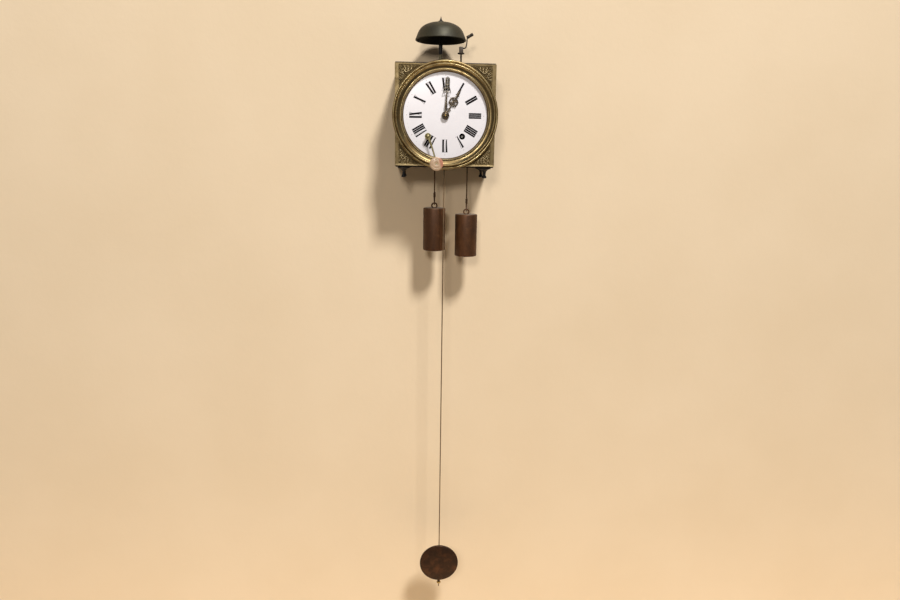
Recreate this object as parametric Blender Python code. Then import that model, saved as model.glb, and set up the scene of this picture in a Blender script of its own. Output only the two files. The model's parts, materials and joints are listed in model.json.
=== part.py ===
"""A wag-on-the-wall clock: iron case, stamped brass front, two weights, long pendulum, bell.

Metres, +Z up. The origin is the centre of the back plate's rear face at the height of the hands.
The viewer stands at -Y and X runs to the viewer's right.
"""

import math

import bmesh
import bpy
from mathutils import Matrix, Vector

for old in list(bpy.data.objects):
    bpy.data.objects.remove(old, do_unlink=True)

# Clearances
FIT = 0.0003
RUN = 0.0008

# Case
CASE_HALF_WIDTH = 0.126
CASE_HALF_HEIGHT = 0.1285
SHEET = 0.003
BACK_SHEET = 0.0015
PLATE_REAR = -BACK_SHEET - FIT
PLATE_FRONT = -0.1417
INNER_HALF_HEIGHT = CASE_HALF_HEIGHT - SHEET
FITTED_HALF_HEIGHT = INNER_HALF_HEIGHT - FIT

# Pillars and feet
PILLAR_INSET = 0.0205
PILLAR_X = CASE_HALF_WIDTH - PILLAR_INSET
PILLAR_REAR_Y = -0.020
PILLAR_SETBACK = 0.0177
PILLAR_FRONT_Y = PLATE_FRONT + PILLAR_SETBACK
PILLAR_HALF = 0.0045
TENON_RADIUS = 0.003
RIVET_RADIUS = 0.005
RIVET_HEIGHT = 0.002
FOOT_HEIGHT = 0.0265
FOOT_BOTTOM = -CASE_HALF_HEIGHT - FOOT_HEIGHT
FOOT_FLANGE_RADIUS = 0.016
FOOT_FLANGE_HEIGHT = 0.0025
FOOT_CONE_HEIGHT = 0.009
FOOT_NECK_RADIUS = 0.0032
FOOT_BASE_RADIUS = 0.0052
FOOT_BASE_HEIGHT = 0.003

# Wall hoop and the slots in the bottom plate
HOOP_WIRE = 0.002
HOOP_HALF_WIDTH = 0.015
HOOP_Y = -0.0065
HOOP_LEG = 0.0075
HOOP_STEPS = 8
CORD_SLOT_HALF = 0.0045
CORD_SLOT_FORWARD = 0.0255
CORD_SLOT_BACKWARD = 0.015
SWING_SLOT_HALF = 0.0135
SWING_SLOT_ROOM = 0.0045

# Front, bezel and dial
FRONT_DEPTH = 0.0083
FRONT_FACE = PLATE_FRONT - FRONT_DEPTH
FRONT_OVERHANG = 0.001
FRONT_HALF_WIDTH = CASE_HALF_WIDTH + FRONT_OVERHANG
FRONT_HALF_HEIGHT = CASE_HALF_HEIGHT - SHEET
FRONT_SHEET = 0.001
HEM_REAR = PLATE_FRONT - FIT
BORDER_WIDTH = 0.006
BORDER_RISE = 0.0012
BOSS_INSET = 0.0165
BOSS_LENGTH = 0.034
BOSS_WIDTH = 0.016
BOSS_RISE = 0.003
DIAL_RADIUS = 0.1072
DIAL_ROOM = 0.0004
DIAL_POCKET = DIAL_RADIUS + DIAL_ROOM
BEZEL_LIP = 0.0018
BEZEL_OPENING = DIAL_RADIUS - BEZEL_LIP
BEZEL_WIDTH = 0.0286
BEZEL_RADIUS = BEZEL_OPENING + BEZEL_WIDTH
FRONT_LEDGE = 0.0304
FRONT_HOLE_RADIUS = BEZEL_OPENING - FRONT_LEDGE
BEZEL_REAR = FRONT_FACE - FIT - BORDER_RISE
BEZEL_DEPTH = 0.0145
BEZEL_FRONT = BEZEL_REAR - BEZEL_DEPTH
DIAL_REAR = BEZEL_REAR - FIT
DIAL_THICKNESS = 0.001
DIAL_RISE = 0.0045
DIAL_HOLE = 0.006
WINDING_HOLE = 0.0075

# The bezel's section: shares of its width from the opening outwards and of its depth from the rear forwards
BEZEL_SHARES = [
    (0.971, 0),
    (1, 0.131),
    (0.978, 0.407),
    (0.862, 0.545),
    (0.761, 0.462),
    (0.717, 0.793),
    (0.623, 1),
    (0.457, 0.766),
    (0.268, 0.655),
    (0.196, 0.793),
    (0.116, 0.648),
    (0, 0.366),
]

# Doors
DOOR_SKIN = 0.0012
DOOR_INSET = 0.0008
DOOR_OUTER_X = CASE_HALF_WIDTH - DOOR_INSET
DOOR_SETBACK = 0.0037
DOOR_FRONT_Y = PLATE_FRONT + DOOR_SETBACK
HINGE_INSET = 0.0044
HINGE_X = CASE_HALF_WIDTH - HINGE_INSET
HINGE_Y = -0.0098
HINGE_RADIUS = 0.0022
PINTLE_RADIUS = 0.001
PINTLE_LENGTH = 0.004
KNOB_SETBACK = 0.0100
KNOB_Y = DOOR_FRONT_Y + KNOB_SETBACK
KNOB_RADIUS = 0.0042
KNOB_LENGTH = 0.006
KNOB_ROOT = 0.0026
KNOB_WAIST = 0.0017
DOOR_WEB_HALF = 0.0022

# Bars of the movement
BAR_THICKNESS = 0.004
REAR_BAR_Y = -0.026
FRONT_BAR_SETBACK = 0.0257
FRONT_BAR_Y = PLATE_FRONT + FRONT_BAR_SETBACK
BAR_HALF_WIDTH = 0.007
BRIDGE_THICKNESS = 0.003
BRIDGE_FRONT = FRONT_BAR_Y - FIT - BRIDGE_THICKNESS
BRIDGE_HALF_HEIGHT = 0.0058
BRIDGE_LEFT = -0.031
BRIDGE_RIGHT = 0.067

# Wheel centres, as X and Z
CENTRE = (0.0, 0.0)
DRUM_X = 0.0435
DRUM_Z = -0.051
GOING_DRUM_AT = (-DRUM_X, DRUM_Z)
STRIKE_DRUM_AT = (DRUM_X, DRUM_Z)
ANCHOR_Z = 0.080
ANCHOR_AT = (0.0, ANCHOR_Z)

# Teeth: module and counts
GREAT_MODULE = 0.00115
GREAT_TEETH = 72
SECOND_MODULE = 0.001
SECOND_TEETH = 60
SECOND_LEAVES = 6
THIRD_MODULE = 0.00105
THIRD_TEETH = 54
THIRD_LEAVES = 8
LAST_LEAVES = 8
ESCAPE_TEETH = 30
ESCAPE_RADIUS = 0.021
SETTING_TEETH = 30
MOTION_MODULE = 0.0012
CANNON_LEAVES = 10
MOTION_TEETH = 30
MOTION_LEAVES = 8
HOUR_TEETH = 32
MOTION_AT = (MOTION_MODULE * (CANNON_LEAVES + MOTION_TEETH) / 2, 0.0)

# Layers along Y: each wheel's front face and thickness
GREAT_ROOM = 0.0135
GREAT_FRONT = REAR_BAR_Y - GREAT_ROOM
WHEEL_THICKNESS = 0.0025
LAYER_STEP = 0.005
SECOND_FRONT = GREAT_FRONT - LAYER_STEP
THIN_WHEEL = 0.002
THIRD_FRONT = GREAT_FRONT + LAYER_STEP
ESCAPE_ROOM = 0.015
ESCAPE_FRONT = FRONT_BAR_Y + ESCAPE_ROOM
RATCHET_THICKNESS = 0.002
RATCHET_ROOM = 0.0006
RATCHET_FRONT = GREAT_FRONT - RATCHET_THICKNESS - RATCHET_ROOM
RATCHET_RADIUS = 0.0118
RATCHET_TEETH = 16
PIVOT_RADIUS = 0.0012
ARBOR_RADIUS = 0.002

# Drums and cords
SLEEVE_LENGTH = 0.0094
DRUM_REAR = RATCHET_FRONT - SLEEVE_LENGTH
DRUM_SIDE_ROOM = 0.0007
DRUM_CORE = 0.0170
DRUM_FLANGE = 0.0238
FLANGE_THICKNESS = 0.0015
WINDING_ARBOR = 0.004
SQUARE_HALF = 0.0025
SQUARE_SETBACK = 0.0018
SQUARE_FRONT = DIAL_REAR + SQUARE_SETBACK
CORD_RADIUS = 0.0018
CORD_PITCH = 0.0041
CORD_LOOPS = 6
CORD_SEAT = 0.0200
CORD_Y = -0.075
LOOP_POINTS = 12
CORD_FRONT = CORD_Y - CORD_LOOPS * CORD_PITCH - CORD_RADIUS
DRUM_FRONT = CORD_FRONT - DRUM_SIDE_ROOM - FLANGE_THICKNESS

# Weights
WEIGHT_RADIUS = 0.030
GOING_WEIGHT_TOP = -0.237
GOING_WEIGHT_HEIGHT = 0.115
STRIKE_WEIGHT_TOP = -0.253
STRIKE_WEIGHT_HEIGHT = 0.114
RING_RADIUS = 0.0068
RING_WIRE = 0.0016
RING_RISE = 0.006
KNOT_RADIUS = 0.0045
KNOT_HEIGHT = 0.008

# Pendulum
ROD_ROOM = 0.0065
ROD_Y = FRONT_BAR_Y - ROD_ROOM
ROD_RADIUS = 0.0015
ROD_DROP = 0.0223
ROD_TOP = ANCHOR_Z - ROD_DROP
STIRRUP_HALF_WIDTH = 0.013
STIRRUP_HALF_HEIGHT = 0.017
BOB_Z = -1.281
BOB_RADIUS = 0.0565
BOB_HALF_THICKNESS = 0.0085
BOB_BORE = 0.0018
NUT_DROP = 0.0055
NUT_TOP = BOB_Z - BOB_RADIUS - NUT_DROP
NUT_HEIGHT = 0.007
ROD_END = 0.009
ROD_TIP = NUT_TOP - NUT_HEIGHT - ROD_END
NUT_RADIUS = 0.006
FERRULE_RADIUS = 0.004
SPRING_HALF_THICKNESS = 0.00025
SPRING_HALF_DEPTH = 0.0016
CHEEK_HALF_WIDTH = 0.002
CROSS_PIN_RADIUS = 0.0012
LUG_HALF_WIDTH = 0.006

# Bell and hammer
BELL_X = -0.0115
BELL_Y = -0.075
BELL_RADIUS = 0.064
BELL_RISE = 0.0615
BELL_HEIGHT = 0.045
BELL_RIM_Z = CASE_HALF_HEIGHT + BELL_RISE
BELL_TOP_Z = BELL_RIM_Z + BELL_HEIGHT
BELL_WALL = 0.0022
POST_RADIUS = 0.0032
POST_BULGE = 0.0050
POST_THREAD = 0.0026
SPIKE_HEIGHT = 0.013
HAMMER_X = 0.040
HAMMER_ROOM = 0.012
HAMMER_Y = FRONT_BAR_Y + HAMMER_ROOM
HAMMER_STEM = 0.0022
HEAD_RADIUS = 0.004
HEAD_LENGTH = 0.018
HEAD_X = 0.0634
HEAD_Y = -0.080
HEAD_RISE = 0.0745
HEAD_AT = (HEAD_X, HEAD_Y, CASE_HALF_HEIGHT + HEAD_RISE)
HEAD_TILT = math.radians(31)
ARM_RADIUS = 0.0011

# Hands
MINUTE_LENGTH = 0.093
HOUR_LENGTH = 0.075
HAND_SHEET = 0.0012
HOUR_HAND_ROOM = 0.0088
HOUR_HAND_FRONT = DIAL_REAR - HOUR_HAND_ROOM
HAND_STEP = 0.0036
MINUTE_HAND_FRONT = HOUR_HAND_FRONT - HAND_STEP
HUB_RADIUS = 0.0095
MINUTE_ANGLE = math.radians(3)
HOUR_ANGLE = math.radians(31.5)
STUD_RADIUS = 0.0020
MINUTE_BORE = 0.0023
MINUTE_PIPE = 0.0036
HOUR_BORE = 0.0039
HOUR_PIPE = 0.0050

# Small parts of the movement: bushes, anchor, clicks, pinions and pipes
BUSH_RADIUS = 0.0032
ANCHOR_ARBOR = 0.0016
ANCHOR_HUB = 0.0045
CRUTCH_SHEET = 0.0014
CRUTCH_ROOM = 0.0009
CRUTCH_FRONT = FRONT_BAR_Y - CRUTCH_ROOM - CRUTCH_SHEET
ANCHOR_TIP = CRUTCH_FRONT - FIT
PALLET_RADIUS = 0.0223
PALLET_DEPTH = 0.0038
ESCAPE_ROOT = 0.0172
RATCHET_ROOT = 0.0096
SLEEVE_RADIUS = 0.0070
CLICK_REACH = 0.0165
CLICK_HALF = 0.0024
CLICK_PIN = 0.0010
CLICK_BEARING = math.radians(200)
NOSE_GAP = 0.0004
FIRST_PINION_AHEAD = 0.0015
FIRST_PINION_LENGTH = 0.0048
PINION_AHEAD = 0.001
PINION_LENGTH = 0.004
FIRST_PINION = (GREAT_FRONT - FIRST_PINION_AHEAD, GREAT_FRONT - FIRST_PINION_AHEAD + FIRST_PINION_LENGTH)
NEXT_PINION = (SECOND_FRONT - PINION_AHEAD, SECOND_FRONT - PINION_AHEAD + PINION_LENGTH)
LAST_PINION = (THIRD_FRONT - PINION_AHEAD, THIRD_FRONT - PINION_AHEAD + PINION_LENGTH)
LIFTING_PINS = 10
LIFTING_REACH = 0.024
LIFTING_PIN = 0.001
LIFTING_LENGTH = 0.006
LIFTING_FRONT = SECOND_FRONT - LIFTING_LENGTH
SETTING_ROOM = 0.0082
SETTING_FRONT = BRIDGE_FRONT - SETTING_ROOM
CANNON_AHEAD = 0.005
CANNON_FRONT = SETTING_FRONT - CANNON_AHEAD
CANNON_LENGTH = 0.0052
MOTION_INSET = 0.001
MOTION_FRONT = CANNON_FRONT + MOTION_INSET
MOTION_PINION_LENGTH = 0.006
MOTION_PINION_FRONT = MOTION_FRONT - MOTION_PINION_LENGTH
STUD_END = 0.0007
MOTION_STUD_TIP = MOTION_PINION_FRONT - STUD_END
HOUR_WHEEL_FRONT = MOTION_PINION_FRONT + MOTION_INSET
PIPE_END = 0.0002
HOUR_PIPE_FRONT = HOUR_HAND_FRONT + PIPE_END
MINUTE_PIPE_FRONT = MINUTE_HAND_FRONT + PIPE_END
CENTRE_STUD_END = 0.0016
STUD_TIP = MINUTE_HAND_FRONT - CENTRE_STUD_END
LUG_LOW = 0.0075
LUG_THICKNESS = 0.004
LUG_HIGH = LUG_LOW + LUG_THICKNESS
TAIL_RISE = 0.0045
TAIL_LOW = LUG_HIGH + TAIL_RISE
TAIL_THICKNESS = 0.0032
TAIL_HIGH = TAIL_LOW + TAIL_THICKNESS
TAIL_HALF = 0.0022
TAIL_ACROSS = 0.0095
TAIL_OVERLAP = 0.002
TAIL_END = (HAMMER_X + TAIL_ACROSS, LIFTING_FRONT + TAIL_OVERLAP)
COLLAR_RADIUS = 0.0085
BLOCK_HALF = 0.005
POST_NUT = 0.006
POST_FOOT = 0.0075
NUT_GRIP = 0.0045
COLLAR_RISE = 0.0265
COLLAR_HEIGHT = 0.003
COLLAR_LOW = CASE_HALF_HEIGHT + COLLAR_RISE
COLLAR_HIGH = COLLAR_LOW + COLLAR_HEIGHT
BLOCK_HEIGHT = 0.014
BLOCK_TOP = COLLAR_HIGH + BLOCK_HEIGHT
POST_NUT_HEIGHT = 0.0045
POST_NUT_LOW = INNER_HALF_HEIGHT - POST_NUT_HEIGHT
BAR_LUG_LEFT = 0.0355
BAR_LUG_MARGIN = 0.0055
BAR_LUG_REAR = HAMMER_Y + BAR_LUG_MARGIN
BAR_LUG_OVERLAP = 0.001
COCK_REAR = FRONT_BAR_Y - BRIDGE_THICKNESS - FIT
COCK_DEPTH = 0.0099
COCK_FRONT = COCK_REAR - COCK_DEPTH
COCK_SHEET = 0.001
COCK_WEB_RISE = 0.016
COCK_WEB_LOW = ANCHOR_Z + COCK_WEB_RISE
COCK_WEB_HEIGHT = 0.004
COCK_WEB_HIGH = COCK_WEB_LOW + COCK_WEB_HEIGHT
COCK_LUG_DROP = 0.0035
COCK_LUG_LOW = ANCHOR_Z - COCK_LUG_DROP
COCK_STEM_HALF = 0.004
CROSS_PIN_FRONT = COCK_FRONT - RUN
CROSS_PIN_INSET = 0.0002
CROSS_PIN_REAR = COCK_REAR + CROSS_PIN_INSET
VANE_ROOM = 0.021
VANE_FRONT = FRONT_BAR_Y + VANE_ROOM
VANE_LENGTH = 0.035
VANE_REAR = VANE_FRONT + VANE_LENGTH
VANE_HALF = 0.0006
VANE_REACH = 0.025
CRUTCH_LENGTH = 0.0395
CRUTCH_FOOT = ANCHOR_Z - CRUTCH_LENGTH
CRUTCH_HALF = 0.0016
FORK_HALF = 0.0036
FORK_PIN = 0.0006
FORK_PIN_X = 0.0026
CHEEK_HEIGHT = 0.005
CHEEK_TOP = ROD_TOP + FIT + CHEEK_HEIGHT
SPRING_TOP_DROP = 0.0028
SPRING_TOP_LOW = ANCHOR_Z - SPRING_TOP_DROP
SPRING_TOP_HEIGHT = 0.006
SPRING_TOP_HIGH = SPRING_TOP_LOW + SPRING_TOP_HEIGHT
WEIGHT_CHAMFER = 0.0025
NUT_FLANGE = 0.0085
NUT_WAIST = 0.0045
SPIKE_RADIUS = 0.0018
SPIKE_TIP_RADIUS = 0.0014

# Outlines as shares: a hand's (length, half width)
MINUTE_HALF_WIDTH = 0.0085
MINUTE_SHARES = [
    (0.065, 0.353),
    (0.140, 0.212),
    (0.194, 0.365),
    (0.258, 0.400),
    (0.323, 0.282),
    (0.366, 0.176),
    (0.591, 0.153),
    (0.608, 0.706),
    (0.624, 1),
    (0.667, 0.918),
    (0.731, 0.682),
    (0.806, 0.588),
    (0.914, 0.553),
    (0.968, 0.565),
    (1, 0.353),
]
MINUTE_LOW_EYE_SHARES = [(0.651, 0.118), (0.683, 0.424), (0.742, 0.329), (0.790, 0.106)]
MINUTE_HIGH_EYE_SHARES = [(0.823, 0.106), (0.860, 0.282), (0.925, 0.282), (0.957, 0.094)]
HOUR_HALF_WIDTH = 0.0112
HOUR_SHARES = [
    (0.093, 0.268),
    (0.173, 0.196),
    (0.200, 0.402),
    (0.227, 0.402),
    (0.253, 0.179),
    (0.353, 0.143),
    (0.387, 0.554),
    (0.440, 0.875),
    (0.513, 1),
    (0.587, 0.875),
    (0.647, 0.518),
    (0.680, 0.161),
    (0.736, 0.161),
    (0.749, 0.446),
    (0.773, 0.446),
    (0.789, 0.304),
    (0.907, 0.179),
    (1, 0.045),
]
HOUR_EYE_SHARES = [(0.420, 0.179), (0.453, 0.607), (0.513, 0.750), (0.573, 0.607), (0.613, 0.179)]

# The bell's (radius, height), the post's bulge, the spike and the bob
BELL_SHARES = [
    (1, 0),
    (0.984, 0.170),
    (0.940, 0.340),
    (0.850, 0.540),
    (0.690, 0.735),
    (0.450, 0.900),
    (0.188, 0.990),
]
POST_BULGE_SHARES = [(0.515, 0), (0.600, 1), (0.770, 1), (0.940, 0)]
SPIKE_SHARES = [0.654, 0.923]
BOB_SHARES = [(0, 1), (0.531, 0.953), (0.850, 0.812), (0.965, 0.576), (1, 0.250)]

# The hammer's bent arm: shares of the way from its block to its head, along X, Y and Z
ARM_SHARES = [
    (0.226, 0, -0.113),
    (0.342, 0, -0.113),
    (0.449, 0.125, -0.065),
    (0.556, 0.333, 0.097),
    (0.632, 0.625, 0.403),
    (0.769, 0.875, 0.629),
    (0.9017, 0.9875, 0.7484),
]

# Finishes: colour, metallic value and roughness
FINISHES = {
    "iron": ((0.016, 0.017, 0.020), 0.8, 0.55),
    "stamped brass": ((0.16, 0.105, 0.04), 0.9, 0.42),
    "bezel brass": ((0.25, 0.15, 0.045), 1.0, 0.30),
    "wheel brass": ((0.45, 0.30, 0.10), 1.0, 0.32),
    "steel": ((0.25, 0.25, 0.26), 1.0, 0.35),
    "dark bronze": ((0.08, 0.06, 0.04), 0.8, 0.45),
    "bell metal": ((0.06, 0.05, 0.032), 0.85, 0.45),
    "white enamel": ((0.80, 0.76, 0.76), 0.0, 0.35),
    "cord": ((0.09, 0.035, 0.006), 0.0, 0.85),
    "weight iron": ((0.075, 0.030, 0.010), 0.6, 0.50),
    "bob brass": ((0.055, 0.022, 0.008), 0.7, 0.40),
    "rod brass": ((0.20, 0.12, 0.05), 0.9, 0.40),
}

WHEEL_SIDES = 10
FINE_SIDES = 20
BIG_SIDES = 40


# Helpers


def finished(obj, finish):
    """Gives the object a material of its own with the named finish."""
    colour, metallic, roughness = FINISHES[finish]
    material = bpy.data.materials.new(obj.name + " " + finish)
    material.use_nodes = True
    shader = material.node_tree.nodes["Principled BSDF"]
    shader.inputs["Base Color"].default_value = (*colour, 1.0)
    shader.inputs["Metallic"].default_value = metallic
    shader.inputs["Roughness"].default_value = roughness
    obj.data.materials.append(material)
    return obj


def solid(name, bm, finish, origin=(0, 0, 0)):
    """Makes an object of the mesh, whose points are world places, with its origin at a place."""
    bmesh.ops.recalc_face_normals(bm, faces=bm.faces)
    bmesh.ops.translate(bm, verts=bm.verts, vec=-Vector(origin))
    mesh = bpy.data.meshes.new(name)
    bm.to_mesh(mesh)
    bm.free()
    obj = bpy.data.objects.new(name, mesh)
    obj.location = origin
    bpy.context.scene.collection.objects.link(obj)
    if finish:
        finished(obj, finish)
    return obj


def helper(bm):
    """A hidden cutter or filler for a Boolean."""
    obj = solid("helper", bm, None)
    obj.hide_render = True
    obj.display_type = "WIRE"
    return obj


def shaped(obj, operation, *others):
    for bm in others:
        modifier = obj.modifiers.new(operation.lower(), "BOOLEAN")
        modifier.operation = operation
        modifier.solver = "EXACT"
        modifier.object = helper(bm)
    return obj


def cut(obj, *others):
    return shaped(obj, "DIFFERENCE", *others)


def joined(obj, *others):
    return shaped(obj, "UNION", *others)


def block(low, high):
    """A box between two corners."""
    bm = bmesh.new()
    bmesh.ops.create_cube(bm, size=1)
    size = Vector(high) - Vector(low)
    middle = (Vector(high) + Vector(low)) / 2
    bmesh.ops.transform(bm, matrix=Matrix.Translation(middle) @ Matrix.Diagonal((*size, 1)), verts=bm.verts)
    return bm


def placed(axis, at, across, up, along):
    """World place of a point: two values across the axis and one along it."""
    if axis == "Y":
        return Vector((at[0] + across, along, at[1] + up))
    if axis == "Z":
        return Vector((at[0] + across, at[1] + up, along))
    return Vector((along, at[0] + across, at[1] + up))


def turned(profile, axis="Y", at=(0, 0), sides=FINE_SIDES, phase=0.0):
    """Turns (radius, along) points about an axis. A profile that leaves the axis is a closed ring."""
    bm = bmesh.new()
    rows = []
    for radius, along in profile:
        count = sides if radius > 0 else 1
        row = []
        for side in range(count):
            angle = phase + math.tau * side / sides
            across, up = radius * math.cos(angle), radius * math.sin(angle)
            row.append(bm.verts.new(placed(axis, at, across, up, along)))
        rows.append(row)
    ring = profile[0][0] > 0
    pairs = list(zip(rows, rows[1:] + rows[:1] if ring else rows[1:]))
    for first, second in pairs:
        for side in range(sides):
            after = (side + 1) % sides
            a, b = first[side % len(first)], first[after % len(first)]
            c, d = second[after % len(second)], second[side % len(second)]
            corners = list(dict.fromkeys((a, b, c, d)))
            if len(corners) > 2:
                bm.faces.new(corners)
    return bm


def rod(radius, start, end, axis="Y", at=(0, 0), sides=WHEEL_SIDES):
    return turned([(0, start), (radius, start), (radius, end), (0, end)], axis, at, sides)


def flat(loops, start, end, axis="Y", at=(0, 0)):
    """A flat piece: the first loop is its outline and the others are its holes."""
    bm = bmesh.new()
    edges = []
    for loop in loops:
        verts = [bm.verts.new(placed(axis, at, x, z, start)) for x, z in loop]
        edges += [bm.edges.new((a, b)) for a, b in zip(verts, verts[1:] + verts[:1])]
    bmesh.ops.triangle_fill(bm, use_beauty=True, use_dissolve=False, edges=edges)
    made = bmesh.ops.extrude_face_region(bm, geom=bm.faces[:])
    moved = [item for item in made["geom"] if isinstance(item, bmesh.types.BMVert)]
    shift = placed(axis, (0, 0), 0, 0, end - start)
    bmesh.ops.translate(bm, verts=moved, vec=shift)
    return bm


def circle(radius, at=(0, 0), sides=WHEEL_SIDES, phase=0.0, tall=1.0):
    turns = [phase + math.tau * side / sides for side in range(sides)]
    return [(at[0] + radius * math.cos(t), at[1] + radius * tall * math.sin(t)) for t in turns]


def oblong(low_x, high_x, low_z, high_z):
    return [(low_x, low_z), (high_x, low_z), (high_x, high_z), (low_x, high_z)]


def strip(points, half_width):
    """Outline of a bar of even width that follows a bent line."""
    left, right = [], []
    for index, point in enumerate(points):
        here = Vector(point)
        before = Vector(points[max(index - 1, 0)])
        after = Vector(points[min(index + 1, len(points) - 1)])
        first = (here - before).normalized() if index else (after - here).normalized()
        second = (after - here).normalized() if index < len(points) - 1 else first
        middle = (first + second).normalized()
        across = Vector((-middle.y, middle.x)) * (half_width / max(middle.dot(first), 1 / 2))
        left.append(tuple(here + across))
        right.append(tuple(here - across))
    return left + right[::-1]


def toothed(teeth, module, phase=0.0, addendum=0.75):
    """Outline of a wheel with pointed teeth: one tip point and one root point for each tooth."""
    pitch = math.tau / teeth
    tip = module * (teeth / 2 + addendum)
    root = module * (teeth / 2 - 5 / 4)
    loop = []
    for tooth in range(teeth):
        middle = phase + tooth * pitch
        for radius, share in ((tip, 0), (root, 1 / 2)):
            angle = middle + share * pitch
            loop.append((radius * math.cos(angle), radius * math.sin(angle)))
    return loop


def hooked(teeth, tip, root, root_share):
    """Outline of a ratchet or escape wheel: each tooth has a tip and, a share of a pitch later, a root."""
    pitch = math.tau / teeth
    loop = []
    for tooth in range(teeth):
        for radius, share in ((tip, 0), (root, root_share)):
            angle = (tooth + share) * pitch
            loop.append((radius * math.cos(angle), radius * math.sin(angle)))
    return loop


def leaved(leaves, module, phase=0.0, width=0.30):
    """Outline of a pinion: square leaves with a flat root between them."""
    pitch = math.tau / leaves
    tip = module * (leaves / 2 + 3 / 5)
    root = module * (leaves / 2 - 1)
    loop = []
    for leaf in range(leaves):
        middle = phase + leaf * pitch
        for radius, share in ((root, -width / 2), (tip, -width / 3), (tip, width / 3), (root, width / 2)):
            angle = middle + share * pitch
            loop.append((radius * math.cos(angle), radius * math.sin(angle)))
    return loop


def bearing(start, end):
    return math.atan2(end[1] - start[1], end[0] - start[0])


def meshed_phase(start, end, teeth, phase, other_teeth):
    """Turn of the second wheel that puts its gaps opposite the first wheel's teeth."""
    towards = bearing(start, end)
    share = ((towards - phase) * teeth / math.tau) % 1
    return towards + math.pi - (1 / 2 - share) * math.tau / other_teeth


def origin_of(at, along=0.0):
    return (at[0], along, at[1])


def tube(name, points, radius, finish, origin=(0, 0, 0), sides_resolution=1, closed=False):
    """A round wire along hand-set or looped points, with closed ends."""
    curve = bpy.data.curves.new(name, "CURVE")
    curve.dimensions = "3D"
    curve.bevel_depth = radius
    curve.bevel_resolution = sides_resolution
    curve.use_fill_caps = True
    spline = curve.splines.new("POLY")
    spline.points.add(len(points) - 1)
    spline.use_cyclic_u = closed
    for target, point in zip(spline.points, points):
        target.co = (*(Vector(point) - Vector(origin)), 1)
    obj = bpy.data.objects.new(name, curve)
    obj.location = origin
    bpy.context.scene.collection.objects.link(obj)
    return finished(obj, finish) if finish else obj


def bored(radius, sides=WHEEL_SIDES):
    """Radius of a many-sided hole whose flats clear a pin of this radius."""
    return (radius + FIT) / math.cos(math.pi / sides)


def lofted(sections, axis="Y", at=(0, 0), sides=8):
    """Joins (half size, is square, along) sections end to end and closes both ends."""
    bm = bmesh.new()
    rows = []
    for half, square, along in sections:
        row = []
        for side in range(sides):
            angle = math.tau * side / sides
            across, up = math.cos(angle), math.sin(angle)
            reach = half / max(abs(across), abs(up)) if square else half
            row.append(bm.verts.new(placed(axis, at, reach * across, reach * up, along)))
        rows.append(row)
    for first, second in zip(rows, rows[1:]):
        for side in range(sides):
            after = (side + 1) % sides
            bm.faces.new((first[side], first[after], second[after], second[side]))
    bm.faces.new(rows[0][::-1])
    bm.faces.new(rows[-1])
    return bm


def hooped(loop, wire, along, sides=6):
    """A closed wire ring in an upright plane: the loop holds X and Z, outwards is from its middle."""
    bm = bmesh.new()
    count = len(loop)
    rows = []
    for index, point in enumerate(loop):
        here = Vector(point)
        step = Vector(loop[(index + 1) % count]) - Vector(loop[index - 1])
        outward = Vector((step.y, -step.x)).normalized()
        row = []
        for side in range(sides):
            angle = math.tau * side / sides
            place = here + outward * (wire * math.cos(angle))
            row.append(bm.verts.new((place.x, along + wire * math.sin(angle), place.y)))
        rows.append(row)
    for first, second in zip(rows, rows[1:] + rows[:1]):
        for side in range(sides):
            after = (side + 1) % sides
            bm.faces.new((first[side], first[after], second[after], second[side]))
    return bm


def stepped(start, distance, angle):
    return (start[0] + distance * math.cos(angle), start[1] + distance * math.sin(angle))


def turned_right(loop, angle):
    """Turns a loop drawn straight up by an angle to the viewer's right."""
    across, along = math.cos(angle), math.sin(angle)
    return [(x * across + z * along, z * across - x * along) for x, z in loop]


def mirrored(half_outline):
    """Outline from (reach, half width) points of a piece that is even on both sides."""
    right = [(width, reach) for reach, width in half_outline]
    left = [(-width, reach) for reach, width in half_outline]
    return right + left[::-1]


# Case


def pillar_places():
    for x in (-PILLAR_X, PILLAR_X):
        for y in (PILLAR_REAR_Y, PILLAR_FRONT_Y):
            yield x, y


def hinge_pins(low, high):
    return [rod(PINTLE_RADIUS, low, high, "Z", (side * HINGE_X, HINGE_Y)) for side in (-1, 1)]


def make_top_plate():
    outline = oblong(-CASE_HALF_WIDTH, CASE_HALF_WIDTH, PLATE_FRONT, PLATE_REAR)
    holes = [circle(bored(TENON_RADIUS), place) for place in pillar_places()]
    holes.append(circle(bored(POST_RADIUS), (BELL_X, BELL_Y)))
    holes.append(circle(bored(HAMMER_STEM), (HAMMER_X, HAMMER_Y)))
    sheet = flat([outline] + holes, INNER_HALF_HEIGHT, CASE_HALF_HEIGHT, "Z")
    plate = solid("top_plate", sheet, "iron")
    joined(plate, *hinge_pins(INNER_HALF_HEIGHT - PINTLE_LENGTH, INNER_HALF_HEIGHT + FIT))


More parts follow.
